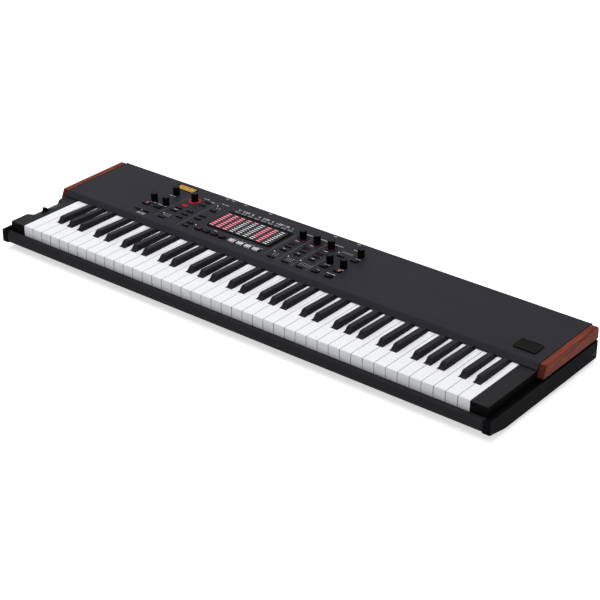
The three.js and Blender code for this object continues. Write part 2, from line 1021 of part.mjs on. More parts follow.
// A wooden cheek with a raked front, a rounded rear corner and bevelled faces.
function woodCheek(sign) {
  const layers = [
    { x: innerHalf, inset: wood.bevel },
    { x: innerHalf + wood.bevel, inset: 0 },
    { x: outerHalf - wood.bevel, inset: 0 },
    { x: outerHalf, inset: wood.bevel },
  ];
  const corners = layers.flatMap(({ x, inset }) =>
    cheekOutline(inset)
      .slice(1)
      .map(([y, z]) => new THREE.Vector3(x, y, z)),
  );
  const body = solid(new ConvexGeometry(corners));
  return sign > 0 ? body : body.mirror([1, 0, 0]);
}

// The black block beside the keyboard, without any scoop.
function plainBlock(left, right) {
  const bottom = aboveCase(chassis.plate) + chassis.sheet + seatGap;
  const outline = roundPath(
    [
      [fromFront(block.front), bottom],
      [fromFront(block.front), keyTop],
      [behindKeys(bodyLength), keyTop],
      [behindKeys(bodyLength), bottom],
    ],
    [block.frontRound, block.frontRound / 2],
    facets.round,
  );
  return prismX(outline, left, right);
}

// The hollow beside the lever: deep at the outer edge and running out to nothing towards the keys.
function scoopCutter(outer, inner) {
  const floor = keyTop - block.scoopDepth;
  const ceiling = keyTop + cut;
  const outline = [
    [fromFront(block.scoopStart), keyTop],
    [fromFront(block.scoopRampEnd), floor],
    [fromFront(block.scoopFloorEnd), floor],
    [fromFront(block.scoopEnd), keyTop],
    [fromFront(block.scoopEnd), ceiling],
    [fromFront(block.scoopStart), ceiling],
  ];
  const shape = new THREE.Shape(outline.map(([y, z]) => new THREE.Vector2(y, z)));
  const start = outer - cut;
  const geometry = new THREE.ExtrudeGeometry(shape, {
    depth: inner - start,
    steps: block.scoopSteps,
    bevelEnabled: false,
  });
  const place = geometry.getAttribute("position");
  for (let i = 0; i < place.count; i++) {
    const x = start + place.getZ(i);
    const across = Math.max(0, (x - outer) / (inner - outer));
    const share = (1 - across) ** block.scoopCurveShare;
    const depthHere = Math.max(0, keyTop - place.getY(i));
    const level = Math.max(place.getY(i), keyTop);
    const rise = place.getY(i) < ceiling ? block.scoopRunout * across : 0;
    place.setXYZ(i, x, place.getX(i), level - depthHere * share + rise);
  }
  return solid(geometry);
}

const leverMiddle = keyboardLeft - blockWidth / 2;
const leverY = fromFront(lever.fromFront);
const leverZ = keyTop - lever.surfaceDrop - lever.drumRadius;

function leftBlock() {
  const outer = -innerHalf;
  const inner = keyboardLeft - seatGap;
  const body = plainBlock(outer, inner);
  const half = lever.thickness / 2 + seatGap;
  const slot = box(
    [leverMiddle - half, leverY - lever.slotHalfLength, aboveCase(0)],
    [leverMiddle + half, leverY + lever.slotHalfLength, keyTop + cut],
  );
  const bore = cylinderX(
    lever.axleRadius + seatGap,
    leverMiddle - half - lever.axleReach - seatGap,
    leverMiddle + half + lever.axleReach + seatGap,
    leverY,
    leverZ,
    facets.axle,
  );
  const scoop = scoopCutter(outer, inner - block.keySideMargin);
  return carve(body, [scoop, slot, bore]);
}

function rightBlock() {
  return plainBlock(-keyboardLeft + seatGap, innerHalf);
}

// The sprung pitch lever: a drum sector with a fin that is steep in front, and an axle through its hub.
function pitchLever() {
  const step = THREE.MathUtils.degToRad(facets.drumDegrees);
  const reach = Math.PI / 2 - 2 * step;
  const finFront = Math.asin(lever.finFront / lever.drumRadius);
  const finRear = Math.asin(lever.finRear / lever.drumRadius);
  const arc = (from, to) => {
    const count = Math.max(1, Math.round((to - from) / step));
    return Array.from({ length: count + 1 }, (_, i) => {
      const angle = from + ((to - from) * i) / count;
      return [leverY + lever.drumRadius * Math.sin(angle), leverZ + lever.drumRadius * Math.cos(angle)];
    });
  };
  const crown = leverZ + lever.drumRadius + lever.finHeight;
  const front = arc(-reach, -finFront);
  const rear = arc(finRear, reach);
  const fin = roundPath(
    [
      front[front.length - 1],
      [leverY - lever.crownFront, crown],
      [leverY - lever.crownRear, crown - lever.crownDrop],
      rear[0],
    ],
    [lever.crownRound, lever.crownRound],
    facets.round,
  );
  const outline = [
    [leverY - lever.hubRadius, leverZ],
    ...front,
    ...fin.slice(1, -1),
    ...rear,
    [leverY + lever.hubRadius, leverZ],
    [leverY + lever.hubRadius / 2, leverZ - lever.hubRadius],
    [leverY - lever.hubRadius / 2, leverZ - lever.hubRadius],
  ];
  const half = lever.thickness / 2;
  const axleHalf = half + lever.axleReach;
  return union([
    prismX(outline, leverMiddle - half, leverMiddle + half),
    cylinderX(
      lever.axleRadius,
      leverMiddle - axleHalf,
      leverMiddle + axleHalf,
      leverY,
      leverZ,
      facets.axle,
    ),
  ]);
}

// Control panel, in its own frame: X as the case, Y up the slope from the crease, Z out of the panel

const panelX = (distance) => keyboardLeft + distance;
const panelY = (share) => panel.length * share;
const panelMiddle = ([distance, share]) => [panelX(distance), panelY(share)];

const knobPlaces = {
  volume_knob: [column.leftKnobA, rowShares.knobLow],
  drive_knob: [column.leftKnobB, rowShares.knobLow],
  page_knob: [column.pageKnob, rowShares.knobHigh],
  program_dial: [column.ringKnob, rowShares.knobHigh],
  effect_knob_a: [column.effectA, rowShares.knobTop],
  effect_knob_b: [effectB, rowShares.knobTop],
  effect_knob_c: [effectC, rowShares.knobTop],
  reverb_knob: [masterA, rowShares.knobMid],
  tone_knob: [masterB, rowShares.knobMid],
  master_knob: [masterB, rowShares.knobFar],
};

const presets = (start, pitch) =>
  Array.from({ length: presetRow.count }, (_, i) => [start + i * pitch, rowShares.preset]);

// Buttons that share a moulded strip, and the lines that the strip follows beneath the panel
const buttonGroups = {
  preset_buttons: {
    large: presets(presetRow.darkStart, presetRow.darkPitch),
    small: [],
  },
  drawbar_buttons: {
    large: presets(presetRow.lightStart, presetRow.lightPitch),
    small: [],
  },
  transpose_buttons: {
    large: [
      [column.leftButtonA, rowShares.large],
      [column.leftButtonB, rowShares.large],
    ],
    small: [
      [column.leftSmallA, rowShares.small],
      [column.leftSmallB, rowShares.small],
    ],
  },
  voice_buttons: {
    large: [],
    small: [
      [column.voice, rowShares.small],
      [column.voice, rowShares.pair],
      [column.voice, rowShares.pairNext],
    ],
  },
  rotor_buttons: {
    large: [],
    small: [
      [column.split, rowShares.smallMid],
      [column.split, rowShares.pair],
      [column.split, rowShares.pairNext],
      [column.split, rowShares.page],
      [column.split, rowShares.pageHigh],
      [column.rotor, rowShares.small],
      [column.rotor, rowShares.smallNext],
      [column.rotor, rowShares.pair],
      [column.rotor, rowShares.pairNext],
      [column.rotor, rowShares.pageLow],
    ],
  },
  effect_buttons: {
    large: [],
    small: [column.effectA, effectB, effectC].flatMap((x) => [
      [x, rowShares.small],
      [x, rowShares.pair],
      [x, rowShares.pairNext],
    ]),
  },
  master_buttons: {
    large: [
      [masterA, rowShares.largeLow],
      [masterA, rowShares.largeMid],
      [masterB, rowShares.largeLow],
      [masterB, rowShares.largeMid],
      [masterB, rowShares.pageLow],
    ],
    small: [[masterA, rowShares.pageLow]],
  },
};

const stripPaths = {
  preset_buttons: [[presets(presetRow.darkStart, presetRow.darkPitch)[0], lastPreset("dark")]],
  drawbar_buttons: [[presets(presetRow.lightStart, presetRow.lightPitch)[0], lastPreset("light")]],
  transpose_buttons: [
    [
      [column.leftButtonA, rowShares.large],
      [column.leftButtonB, rowShares.large],
    ],
    [
      [column.leftSmallA, rowShares.small],
      [column.leftSmallB, rowShares.small],
    ],
    [
      [(column.leftSmallA + column.leftSmallB) / 2, rowShares.small],
      [(column.leftSmallA + column.leftSmallB) / 2, rowShares.large],
    ],
  ],
  voice_buttons: [
    [
      [column.voice, rowShares.small],
      [column.voice, rowShares.pairNext],
    ],
  ],
  rotor_buttons: [
    [
      [column.split, rowShares.smallMid],
      [column.split, rowShares.pageHigh],
    ],
    [
      [column.rotor, rowShares.small],
      [column.rotor, rowShares.pageLow],
    ],
    [
      [column.split, rowShares.pair],
      [column.rotor, rowShares.pair],
    ],
  ],
  effect_buttons: [
    ...[column.effectA, effectB, effectC].map((x) => [
      [x, rowShares.small],
      [x, rowShares.pairNext],
    ]),
    [
      [column.effectA, rowShares.pair],
      [effectC, rowShares.pair],
    ],
  ],
  master_buttons: [
    ...[rowShares.largeLow, rowShares.largeMid, rowShares.pageLow].map((y) => [
      [masterA, y],
      [masterB, y],
    ]),
    [
      [masterSpine, rowShares.largeLow],
      [masterSpine, rowShares.pageLow],
    ],
  ],
};

function lastPreset(kind) {
  const start = kind === "dark" ? presetRow.darkStart : presetRow.lightStart;
  const pitch = kind === "dark" ? presetRow.darkPitch : presetRow.lightPitch;
  return [start + (presetRow.count - 1) * pitch, rowShares.preset];
}

// One group of buttons, joined by its strip beneath the panel.
function buttonGroup(name) {
  const group = buttonGroups[name];
  const stripTop = -sheet.topPanel - buttonStrip.drop;
  const caps = [largeButton, smallButton].flatMap((size, i) =>
    [group.large, group.small][i].map((place) => {
      const [x, y] = panelMiddle(place);
      return taperedCap(size, x, y, stripTop - buttonStrip.thickness / 2, size.rise);
    }),
  );
  const half = buttonStrip.width / 2;
  const strips = stripPaths[name].map(([start, end]) => {
    const [startX, startY] = panelMiddle(start);
    const [endX, endY] = panelMiddle(end);
    return box(
      [Math.min(startX, endX) - half, Math.min(startY, endY) - half, stripTop - buttonStrip.thickness],
      [Math.max(startX, endX) + half, Math.max(startY, endY) + half, stripTop],
    );
  });
  return union([...caps, ...strips]);
}

// A knob: a slightly tapered barrel with a dished top, and the shaft that runs down into its bush.
function knobBody(place) {
  const top = knob.lift + knob.height;
  const profile = [
    [0, -knob.shaftLength],
    [knob.shaftRadius, -knob.shaftLength],
    [knob.shaftRadius, knob.lift],
    [knob.radius, knob.lift],
    [knob.topRadius, top - knob.rim],
    [knob.topRadius - knob.rim, top],
    [knob.dishRadius, top],
    [knob.dishRadius - knob.dishDepth, top - knob.dishDepth],
    [0, top - knob.dishDepth],
  ];
  const [x, y] = panelMiddle(place);
  return revolve(profile, knob.facets).translate([x, y, 0]);
}

// A lens: a rounded plate on the panel and a body that drops through its window.
function lens(size) {
  const left = panelX(size.left);
  const right = panelX(size.right);
  const near = panelY(size.nearShare);
  const far = panelY(size.farShare);
  return union([
    plate(left, right, near, far, seatGap, size.rise, size.round),
    box(
      [left + size.flange, near + size.flange, -size.bodyDepth],
      [right - size.flange, far - size.flange, (seatGap + size.rise) / 2],
    ),
  ]);
}

// Everything that passes through the panel, as tools that cut it.
function panelCutters() {
  const deep = -sheet.topPanel - cut;
  const windows = [drawbarWindow, display].map((size) => {
    const inset = size.flange - seatGap;
    return box(
      [panelX(size.left) + inset, panelY(size.nearShare) + inset, deep],
      [panelX(size.right) - inset, panelY(size.farShare) - inset, cut],
    );
  });
  const shafts = Object.values(knobPlaces).map((place) => {
    const [x, y] = panelMiddle(place);
    return cylinderZ(knob.shaftRadius + panelBoard.holeGap, deep, cut, x, y, facets.bore);
  });
  const gap = buttonStrip.holeGap;
  const caps = Object.values(buttonGroups).flatMap((group) =>
    [largeButton, smallButton].flatMap((size, i) =>
      [group.large, group.small][i].map((place) => {
        const [x, y] = panelMiddle(place);
        return box(
          [x - size.width / 2 - gap, y - size.depth / 2 - gap, deep],
          [x + size.width / 2 + gap, y + size.depth / 2 + gap, cut],
        );
      }),
    ),
  );
  return [...windows, ...shafts, ...caps];
}

// The board under the panel, hung on posts, with a bush for each knob shaft.
function panelBoardBody() {
  const left = panelX(display.left - panelBoard.leftMargin);
  const right = panelX(masterB + panelBoard.rightMargin);
  const far = panel.length - panelBoard.farInset;
  const bottom = -panelBoard.drop - panelBoard.thickness;
  const inset = panelBoard.postInset;
  const postX = [left + inset, panelX(panelBoard.postMiddle), right - inset];
  const postY = [panelBoard.near + inset, far - inset];
  const posts = postX.flatMap((x) =>
    postY.map((y) =>
      cylinderZ(panelBoard.postRadius, bottom, -sheet.topPanel - seatGap, x, y, facets.post),
    ),
  );
  const places = Object.values(knobPlaces).map(panelMiddle);
  const bore = knob.shaftRadius + seatGap;
  const bushTop = -sheet.topPanel - panelBoard.bushGap;
  const bushes = places.map(([x, y]) =>
    cylinderZ(bore + panelBoard.bushWall, bottom, bushTop, x, y, facets.bore),
  );
  const bores = places.map(([x, y]) =>
    cylinderZ(bore, -knob.shaftLength - seatGap, cut, x, y, facets.bore),
  );
  const board = box([left, panelBoard.near, bottom], [right, far, -panelBoard.drop]);
  return carve(union([board, ...posts, ...bushes]), bores);
}

// Sockets and power

// The jack plate with its sockets, on the board that carries them.
function jackRow() {
  const left = jackPlateLeft + seatGap;
  const right = left + rearHole.jackPlateWidth - 2 * seatGap;
  const low = aboveCase(rearHole.jackPlateFoot) + seatGap;
  const high = low + rearHole.jackPlateHeight - 2 * seatGap;
  const rear = fromFront(panelRear);
  const middle = (low + high) / 2;
  const front = rear - jack.bodyDepth;
  const bodies = [
    box([left, rear - jack.plateThickness, low], [right, rear, high]),
    box(
      [left, rear - jack.boardDepth, middle - jack.bodyHeight / 2 - jack.boardThickness],
      [right, rear - jack.plateThickness / 2, middle - jack.bodyHeight / 2],
    ),
  ];
  const bores = [];
  socketShares.forEach(({ kind, share }) => {
    const x = left + (right - left) * share;
    const width = { jack: jack.bodyWidth, din: jack.dinWidth, usb: jack.usbBodyWidth }[kind];
    bodies.push(
      box(
        [x - width / 2, front, middle - jack.bodyHeight / 2],
        [x + width / 2, rear - jack.plateThickness / 2, middle + jack.bodyHeight / 2],
      ),
    );
    if (kind === "jack") {
      bores.push(cylinderY(jack.boreRadius, rear - jack.boreDepth, rear + cut, x, middle, facets.bore));
    } else if (kind === "din") {
      bores.push(cylinderY(jack.dinRadius, rear - jack.dinDepth, rear + cut, x, middle, facets.bore));
    } else {
      bores.push(
        box(
          [x - jack.usbWidth / 2, rear - jack.usbDepth, middle - jack.usbHeight / 2],
          [x + jack.usbWidth / 2, rear + cut, middle + jack.usbHeight / 2],
        ),
      );
    }
  });
  return carve(union(bodies), bores);
}

const powerMiddleZ = aboveCase(rearHole.powerFoot + rearHole.powerHeight / 2);
const powerShareX = (share) => powerLeft + rearHole.powerWidth * share;
const rockerX = powerShareX(power.rockerShare);
const rockerY = fromFront(panelRear) - power.rockerDepth;

// The mains inlet and the frame of the power switch, moulded as one module.
function powerInlet() {
  const rear = fromFront(panelRear);
  const left = powerLeft + seatGap;
  const right = powerRight - seatGap;
  const low = aboveCase(rearHole.powerFoot) + seatGap;
  const high = low + rearHole.powerHeight - 2 * seatGap;
  const outer = rear + seatGap + power.flangeThickness;
  const body = union([
    box([left, rear - power.bodyDepth, low], [right, outer, high]),
    box(
      [left - power.flange, rear + seatGap, low - power.flange],
      [right + power.flange, outer, high + power.flange],
    ),
  ]);
  const inletX = powerShareX(power.inletShare);
  const halfWidth = power.inletWidth / 2;
  const halfHeight = power.inletHeight / 2;
  const inlet = prismY(
    [
      [inletX - halfWidth, powerMiddleZ - halfHeight],
      [inletX + halfWidth, powerMiddleZ - halfHeight],
      [inletX + halfWidth, powerMiddleZ + halfHeight - power.inletChamfer],
      [inletX + halfWidth - power.inletChamfer, powerMiddleZ + halfHeight],
      [inletX - halfWidth + power.inletChamfer, powerMiddleZ + halfHeight],
      [inletX - halfWidth, powerMiddleZ + halfHeight - power.inletChamfer],
    ],
    rear - power.inletDepth,
    outer + cut,
  );
  const well = box(
    [rockerX - power.wellWidth / 2, rear - power.wellDepth, powerMiddleZ - power.wellHeight / 2],
    [rockerX + power.wellWidth / 2, outer + cut, powerMiddleZ + power.wellHeight / 2],
  );
  const reach = power.wellWidth / 2 + power.axleReach + seatGap;
  const bore = cylinderX(
    power.axleRadius + power.axleGap,
    rockerX - reach,
    rockerX + reach,
    rockerY,
    powerMiddleZ,
    facets.axle,
  );
  return carve(body, [inlet, well, bore]);
}

// The rocker of the power switch: a shallow V face on a body that tips about its axle.
function powerRocker() {
  const half = power.wellWidth / 2 - power.rockerSideGap;
  const tall = power.rockerHalfHeight;
  const tilt = THREE.MathUtils.degToRad(-power.rockerTiltDegrees);
  const outline = [
    [-power.rockerBack, -tall],
    [power.rockerFaceOut, -tall],
    [power.rockerFaceMiddle, 0],
    [power.rockerFaceOut, tall],
    [-power.rockerBack, tall],
  ].map(([y, z]) => [
    rockerY + y * Math.cos(tilt) - z * Math.sin(tilt),
    powerMiddleZ + y * Math.sin(tilt) + z * Math.cos(tilt),
  ]);
  const axleHalf = power.wellWidth / 2 + power.axleReach - seatGap;
  return union([
    prismX(outline, rockerX - half, rockerX + half),
    cylinderX(
      power.axleRadius,
      rockerX - axleHalf,
      rockerX + axleHalf,
      rockerY,
      powerMiddleZ,
      facets.axle,
    ),
  ]);
}

// The processor board on its posts, between the keyboard chassis and the jacks.
function mainBoardBody() {
  const floor = trayTop + seatGap;
  const bottom = trayTop + mainBoard.lift;
  const top = bottom + mainBoard.thickness;
  const left = -innerHalf + mainBoard.inset;
  const right = left + mainBoard.width;
  const front = chassisRear + mainBoard.frontGap;
  const rear = fromFront(panelRear) - jack.boardDepth - mainBoard.rearGap;
  const inset = mainBoard.postInset;
  const posts = [left + inset, right - inset].flatMap((x) =>
    [front + inset, rear - inset].map((y) =>
      cylinderZ(mainBoard.postRadius, floor, top, x, y, facets.post),
    ),
  );
  const chipX = (left + right) / 2;
  const chipY = (front + rear) / 2;
  const half = mainBoard.chipSize / 2;
  return union([
    box([left, front, bottom], [right, rear, top]),
    box([chipX - half, chipY - half, bottom], [chipX + half, chipY + half, top + mainBoard.chipRise]),
    ...posts,
  ]);
}

// The power supply behind the inlet: a cover with bevelled top edges over its mounting tray.
function powerSupply() {
  const floor = trayTop + seatGap;
  const top = floor + supply.height;
  const right = innerHalf - supply.inset;
  const left = right - supply.width;
  const front = chassisRear + supply.frontGap;
  const rear = fromFront(panelRear) - power.bodyDepth - supply.rearGap;
  const lip = supply.trayLip;
  return union([
    prismX(
      [
        [front + lip, floor],
        [rear - lip, floor],
        [rear - lip, top - supply.chamfer],
        [rear - lip - supply.chamfer, top],
        [front + lip + supply.chamfer, top],
        [front + lip, top - supply.chamfer],
      ],
      left,
      right,
    ),
    box([left - lip, front, floor], [right + lip, rear, floor + lip]),
  ]);
}

// A rubber foot under a boss of the tray.
function rubberFoot([x, y]) {
  const top = footHeight - foot.bossDrop - seatGap;
  const profile = [
    [0, 0],
    [foot.radius - foot.edgeRound, 0],
    [foot.radius, foot.edgeRound],
    [foot.topRadius, top],
    [0, top],
  ];
  return revolve(profile, foot.facets).translate([x, y, 0]);
}

// Assembly

const finishes = {
  whiteKey: { color: 0xf1f1f3, roughness: 0.32, metalness: 0 },
  blackKey: { color: 0x17181a, roughness: 0.42, metalness: 0 },
  case: { color: 0x1b1c20, roughness: 0.5, metalness: 0.15 },
  panel: { color: 0x2f3035, roughness: 0.45, metalness: 0.2 },
  wood: { color: 0x743a2b, roughness: 0.38, metalness: 0 },
  steel: { color: 0x9a9c9e, roughness: 0.4, metalness: 0.8 },
  board: { color: 0x1f5a38, roughness: 0.6, metalness: 0 },
  darkPlastic: { color: 0x141416, roughness: 0.4, metalness: 0 },
  lightPlastic: { color: 0xb6b7b9, roughness: 0.5, metalness: 0 },
  glass: { color: 0x0b0b0d, roughness: 0.08, metalness: 0 },
  amber: { color: 0xf0b44a, roughness: 0.3, metalness: 0 },
  rubber: { color: 0x101010, roughness: 0.9, metalness: 0 },
};

const organ = new THREE.Group();
const panelFrame = new THREE.Group();
panelFrame.position.set(0, fromFront(depth.crease), aboveCase(height.crease));
panelFrame.rotation.x = panelTilt;
organ.add(panelFrame);

// Adds a named mesh to a group.
function addMesh(group, name, body, finish) {
  const mesh = new THREE.Mesh(geometryOf(body), new THREE.MeshStandardMaterial(finish));
  mesh.name = name;
  group.add(mesh);
}

const addToOrgan = (name, body, finish) => addMesh(organ, name, body, finish);
const addToPanel = (name, body, finish) => addMesh(panelFrame, name, body, finish);

// A solid made in the panel's frame, turned into the frame of the case.
function fromPanelFrame(body) {
  panelFrame.updateMatrix();
  return body.transform(panelFrame.matrix.toArray());
}

function addCase() {
  addToOrgan("bottom_tray", bottomTray(), finishes.case);
  addToOrgan("front_rail", frontRail(), finishes.case);
  addToOrgan("side_panel_left", sidePanel(-1), finishes.case);
  addToOrgan("side_panel_right", sidePanel(1), finishes.case);
  const cutters = panelCutters().map(fromPanelFrame);
  addToOrgan("top_panel", carve(topPanelSheet(), cutters), finishes.panel);
  addToOrgan("rear_panel", rearPanel(), finishes.case);
  addToOrgan("wood_cheek_left", woodCheek(-1), finishes.wood);
  addToOrgan("wood_cheek_right", woodCheek(1), finishes.wood);
  Object.entries(footPlaces()).forEach(([name, place]) =>
    addToOrgan(name, rubberFoot(place), finishes.rubber),
  );
}

function addKeyboard() {
  addToOrgan("keybed_chassis", keybedChassis(), finishes.steel);
  addToOrgan("key_contact_board", keyContactBoard(), finishes.board);
  addToOrgan("key_block_left", leftBlock(), finishes.darkPlastic);
  addToOrgan("key_block_right", rightBlock(), finishes.darkPlastic);
  addToOrgan("pitch_lever", pitchLever(), finishes.darkPlastic);
  keyCombs(addToOrgan, finishes);
}

function addPanel() {
  addToPanel("panel_board", panelBoardBody(), finishes.board);
  addToPanel("drawbar_window", lens(drawbarWindow), finishes.glass);
  addToPanel("display_lens", lens(display), finishes.amber);
  Object.entries(knobPlaces).forEach(([name, place]) =>
    addToPanel(name, knobBody(place), finishes.darkPlastic),
  );
  Object.keys(buttonGroups).forEach((name) => {
    const finish = name === "drawbar_buttons" ? finishes.lightPlastic : finishes.darkPlastic;
    addToPanel(name, buttonGroup(name), finish);
  });
}

function addElectronics() {
  addToOrgan("rear_jack_row", jackRow(), finishes.darkPlastic);
  addToOrgan("power_inlet", powerInlet(), finishes.darkPlastic);
  addToOrgan("power_rocker", powerRocker(), finishes.darkPlastic);
  addToOrgan("main_board", mainBoardBody(), finishes.board);
  addToOrgan("power_supply", powerSupply(), finishes.steel);
}

addCase();
addKeyboard();
addPanel();
addElectronics();

export default organ;
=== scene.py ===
"""Looks of a 73-key combo organ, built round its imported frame.

The frame holds the keys, knobs, buttons and case at their real size and place. This script
finishes them: rounded edges, knob flutes, lamps, lenses, printed marks, screws and socket fittings,
with a procedural material on every surface. Lengths are metres, +X is the player's right and +Z is
up.
"""

import json
import logging
import math
from collections.abc import Callable, Iterable
from dataclasses import dataclass
from enum import Enum

import bmesh
import bpy
from mathutils import Matrix, Vector

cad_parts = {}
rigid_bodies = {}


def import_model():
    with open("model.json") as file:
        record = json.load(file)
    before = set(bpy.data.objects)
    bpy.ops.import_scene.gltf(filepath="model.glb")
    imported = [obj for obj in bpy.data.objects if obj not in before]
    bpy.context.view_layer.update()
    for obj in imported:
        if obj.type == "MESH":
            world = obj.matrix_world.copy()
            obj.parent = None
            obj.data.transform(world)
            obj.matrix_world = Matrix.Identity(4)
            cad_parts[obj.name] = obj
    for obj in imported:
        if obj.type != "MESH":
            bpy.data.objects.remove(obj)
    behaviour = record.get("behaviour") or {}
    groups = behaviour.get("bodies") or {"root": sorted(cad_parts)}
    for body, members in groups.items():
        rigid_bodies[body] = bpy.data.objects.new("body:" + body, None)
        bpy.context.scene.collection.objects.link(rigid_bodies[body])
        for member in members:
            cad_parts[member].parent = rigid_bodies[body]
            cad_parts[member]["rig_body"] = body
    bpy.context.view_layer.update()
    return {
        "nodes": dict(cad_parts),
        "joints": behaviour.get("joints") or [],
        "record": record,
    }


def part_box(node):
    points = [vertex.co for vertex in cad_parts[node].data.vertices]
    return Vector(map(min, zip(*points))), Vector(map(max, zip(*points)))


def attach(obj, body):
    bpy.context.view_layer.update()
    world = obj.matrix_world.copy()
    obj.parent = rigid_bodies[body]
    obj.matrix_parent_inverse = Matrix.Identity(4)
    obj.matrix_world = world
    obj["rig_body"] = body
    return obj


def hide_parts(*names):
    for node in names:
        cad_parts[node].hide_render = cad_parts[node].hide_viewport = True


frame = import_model()

MM = 0.001
INK = 0.04 * MM
UP = Vector((0, 0, 1))
CASE = "case"
PATTERN = "pattern"
KEY_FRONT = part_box("white_comb_1a")[0].y
MERGE_DISTANCE = 0.001 * MM
FLAT_ANGLE = math.radians(0.5)
CORNER_STEPS = 6
# Sockets of a Mix node that mixes colours
COLOR_A, COLOR_B, COLOR_RESULT = 6, 7, 2

Pair = tuple[float, float]
Triple = tuple[float, float, float]
Quad = tuple[float, float, float, float]
Piece = bpy.types.Object
Polygon = bpy.types.MeshPolygon
Socket = bpy.types.NodeSocket
Material = bpy.types.Material
log = logging.getLogger("organ")


# Modelling helpers


def only(piece: Piece) -> None:
    """Makes one object the only selected and active one.

    Args:
        piece: The object to work on.
    """
    for other in bpy.context.selected_objects:
        other.select_set(False)
    piece.hide_set(False)
    piece.select_set(True)
    bpy.context.view_layer.objects.active = piece


def settle() -> Piece:
    """Makes a pattern of the newly added object, with its place and size in its mesh.

    Returns:
        The pattern.
    """
    piece = bpy.context.object
    piece.name = PATTERN
    only(piece)
    bpy.ops.object.transform_apply(location=True, rotation=True, scale=True)
    return piece


def choose(piece: Piece, test: Callable[..., bool], kind: str = "FACE") -> None:
    """Enters edit mode with only the faces or edges that pass a test selected.

    Args:
        piece: The object to edit.
        test: Says whether a face or an edge is wanted.
        kind: FACE or EDGE.
    """
    only(piece)
    bpy.ops.object.mode_set(mode="EDIT")
    bpy.ops.mesh.select_mode(type=kind)
    bpy.ops.mesh.select_all(action="DESELECT")
    shape = bmesh.from_edit_mesh(piece.data)
    for item in shape.faces if kind == "FACE" else shape.edges:
        item.select_set(test(item))
    bmesh.update_edit_mesh(piece.data)


def leave_edit() -> None:
    """Goes back to object mode."""
    bpy.ops.object.mode_set(mode="OBJECT")


def is_upright(edge: bmesh.types.BMEdge) -> bool:
    """Says whether an edge runs along Z."""
    return abs((edge.verts[0].co - edge.verts[1].co).normalized().z) > 0.99


def facing(axis: Vector, share: float = 0.99) -> Callable[..., bool]:
    """Tests for faces whose normal has at least this cosine with a direction."""
    return lambda face: face.normal.dot(axis) > share


def slab(width: float, deep: float, height: float, corner: float = 0.0) -> Piece:
    """Adds a flat plate that stands on the origin.

    Args:
        width: Size along X.
        deep: Size along Y.
        height: Size along Z.
        corner: Radius of its corners.

    Returns:
        The plate.
    """
    bpy.ops.mesh.primitive_cube_add(
        size=1, location=(0, 0, height / 2), scale=(width, deep, height)
    )
    piece = settle()
    if corner:
        choose(piece, is_upright, "EDGE")
        bpy.ops.mesh.bevel(offset=corner, segments=CORNER_STEPS)
        leave_edit()
    return piece


def disc(radius: float, height: float, sides: int) -> Piece:
    """Adds an upright cylinder that stands on the origin.

    Args:
        radius: Its radius.
        height: Its height.
        sides: Number of sides.

    Returns:
        The cylinder.
    """
    bpy.ops.mesh.primitive_cylinder_add(
        vertices=sides, radius=radius, depth=height, location=(0, 0, height / 2)
    )
    return settle()


def inset_and_push(piece: Piece, test: Callable[..., bool], inset: float, push: Vector) -> None:
    """Insets faces and moves the inner part.

    Args:
        piece: The object to edit.
        test: Says which faces.
        inset: Width of the rim.
        push: Offset of the inner part.
    """
    choose(piece, test)
    bpy.ops.mesh.inset(thickness=inset, use_even_offset=True)
    bpy.ops.transform.translate(value=tuple(push))
    leave_edit()


def pierce(piece: Piece, wall: float) -> Piece:
    """Cuts a hole of its own outline through an upright plate.

    Args:
        piece: The plate.
        wall: Width of what stays round the hole.

    Returns:
        The pierced plate.
    """
    choose(piece, lambda face: abs(face.normal.z) > 0.9)
    bpy.ops.mesh.inset(thickness=wall, use_even_offset=True)
    bpy.ops.mesh.bridge_edge_loops()
    leave_edit()
    return piece


def tube(outer: float, inner: float, height: float, sides: int) -> Piece:
    """Adds a ring with straight walls, between two radii, that stands on the origin."""
    return pierce(disc(outer, height, sides), outer - inner)


def numeral(text: str, height: float) -> Piece:
    """Adds a printed number, centred on the origin.

    Args:
        text: The number.
        height: Height of its digits.

    Returns:
        The number as a thin mesh.
    """
    bpy.ops.object.text_add()
    piece = bpy.context.object
    piece.data.body = text
    piece.data.size = height * 1.4
    piece.data.extrude = 0.03 * MM
    piece.data.offset = height * 0.06
    piece.data.align_x = "CENTER"
    piece.data.align_y = "CENTER"
    only(piece)
    bpy.ops.object.convert(target="MESH")
    bpy.ops.object.mode_set(mode="EDIT")
    bpy.ops.mesh.select_all(action="SELECT")
    bpy.ops.mesh.remove_doubles(threshold=MERGE_DISTANCE)
    leave_edit()
    return settle()


def soften(piece: Piece, width: float, steps: int = 2, limit: float = 40.0) -> Piece:
    """Rounds a piece's edges with an applied bevel and shades it by angle.

    Args:
        piece: The object to finish.
        width: Width of the rounded edge.
        steps: Steps across the edge.
        limit: Only edges sharper than this many degrees are rounded.

    Returns:
        The finished object.
    """
    only(piece)
    bevel = piece.modifiers.new("Edge", "BEVEL")
    bevel.width = width
    bevel.segments = steps
    bevel.limit_method = "ANGLE"
    bevel.angle_limit = math.radians(limit)
    bevel.use_clamp_overlap = True
    bpy.ops.object.modifier_apply(modifier=bevel.name)
    bpy.ops.object.shade_smooth_by_angle(angle=math.radians(limit))
    flat = piece.modifiers.new("Flat faces", "WEIGHTED_NORMAL")
    flat.keep_sharp = True
    flat.weight = 100
    bpy.ops.object.modifier_apply(modifier=flat.name)
    return piece


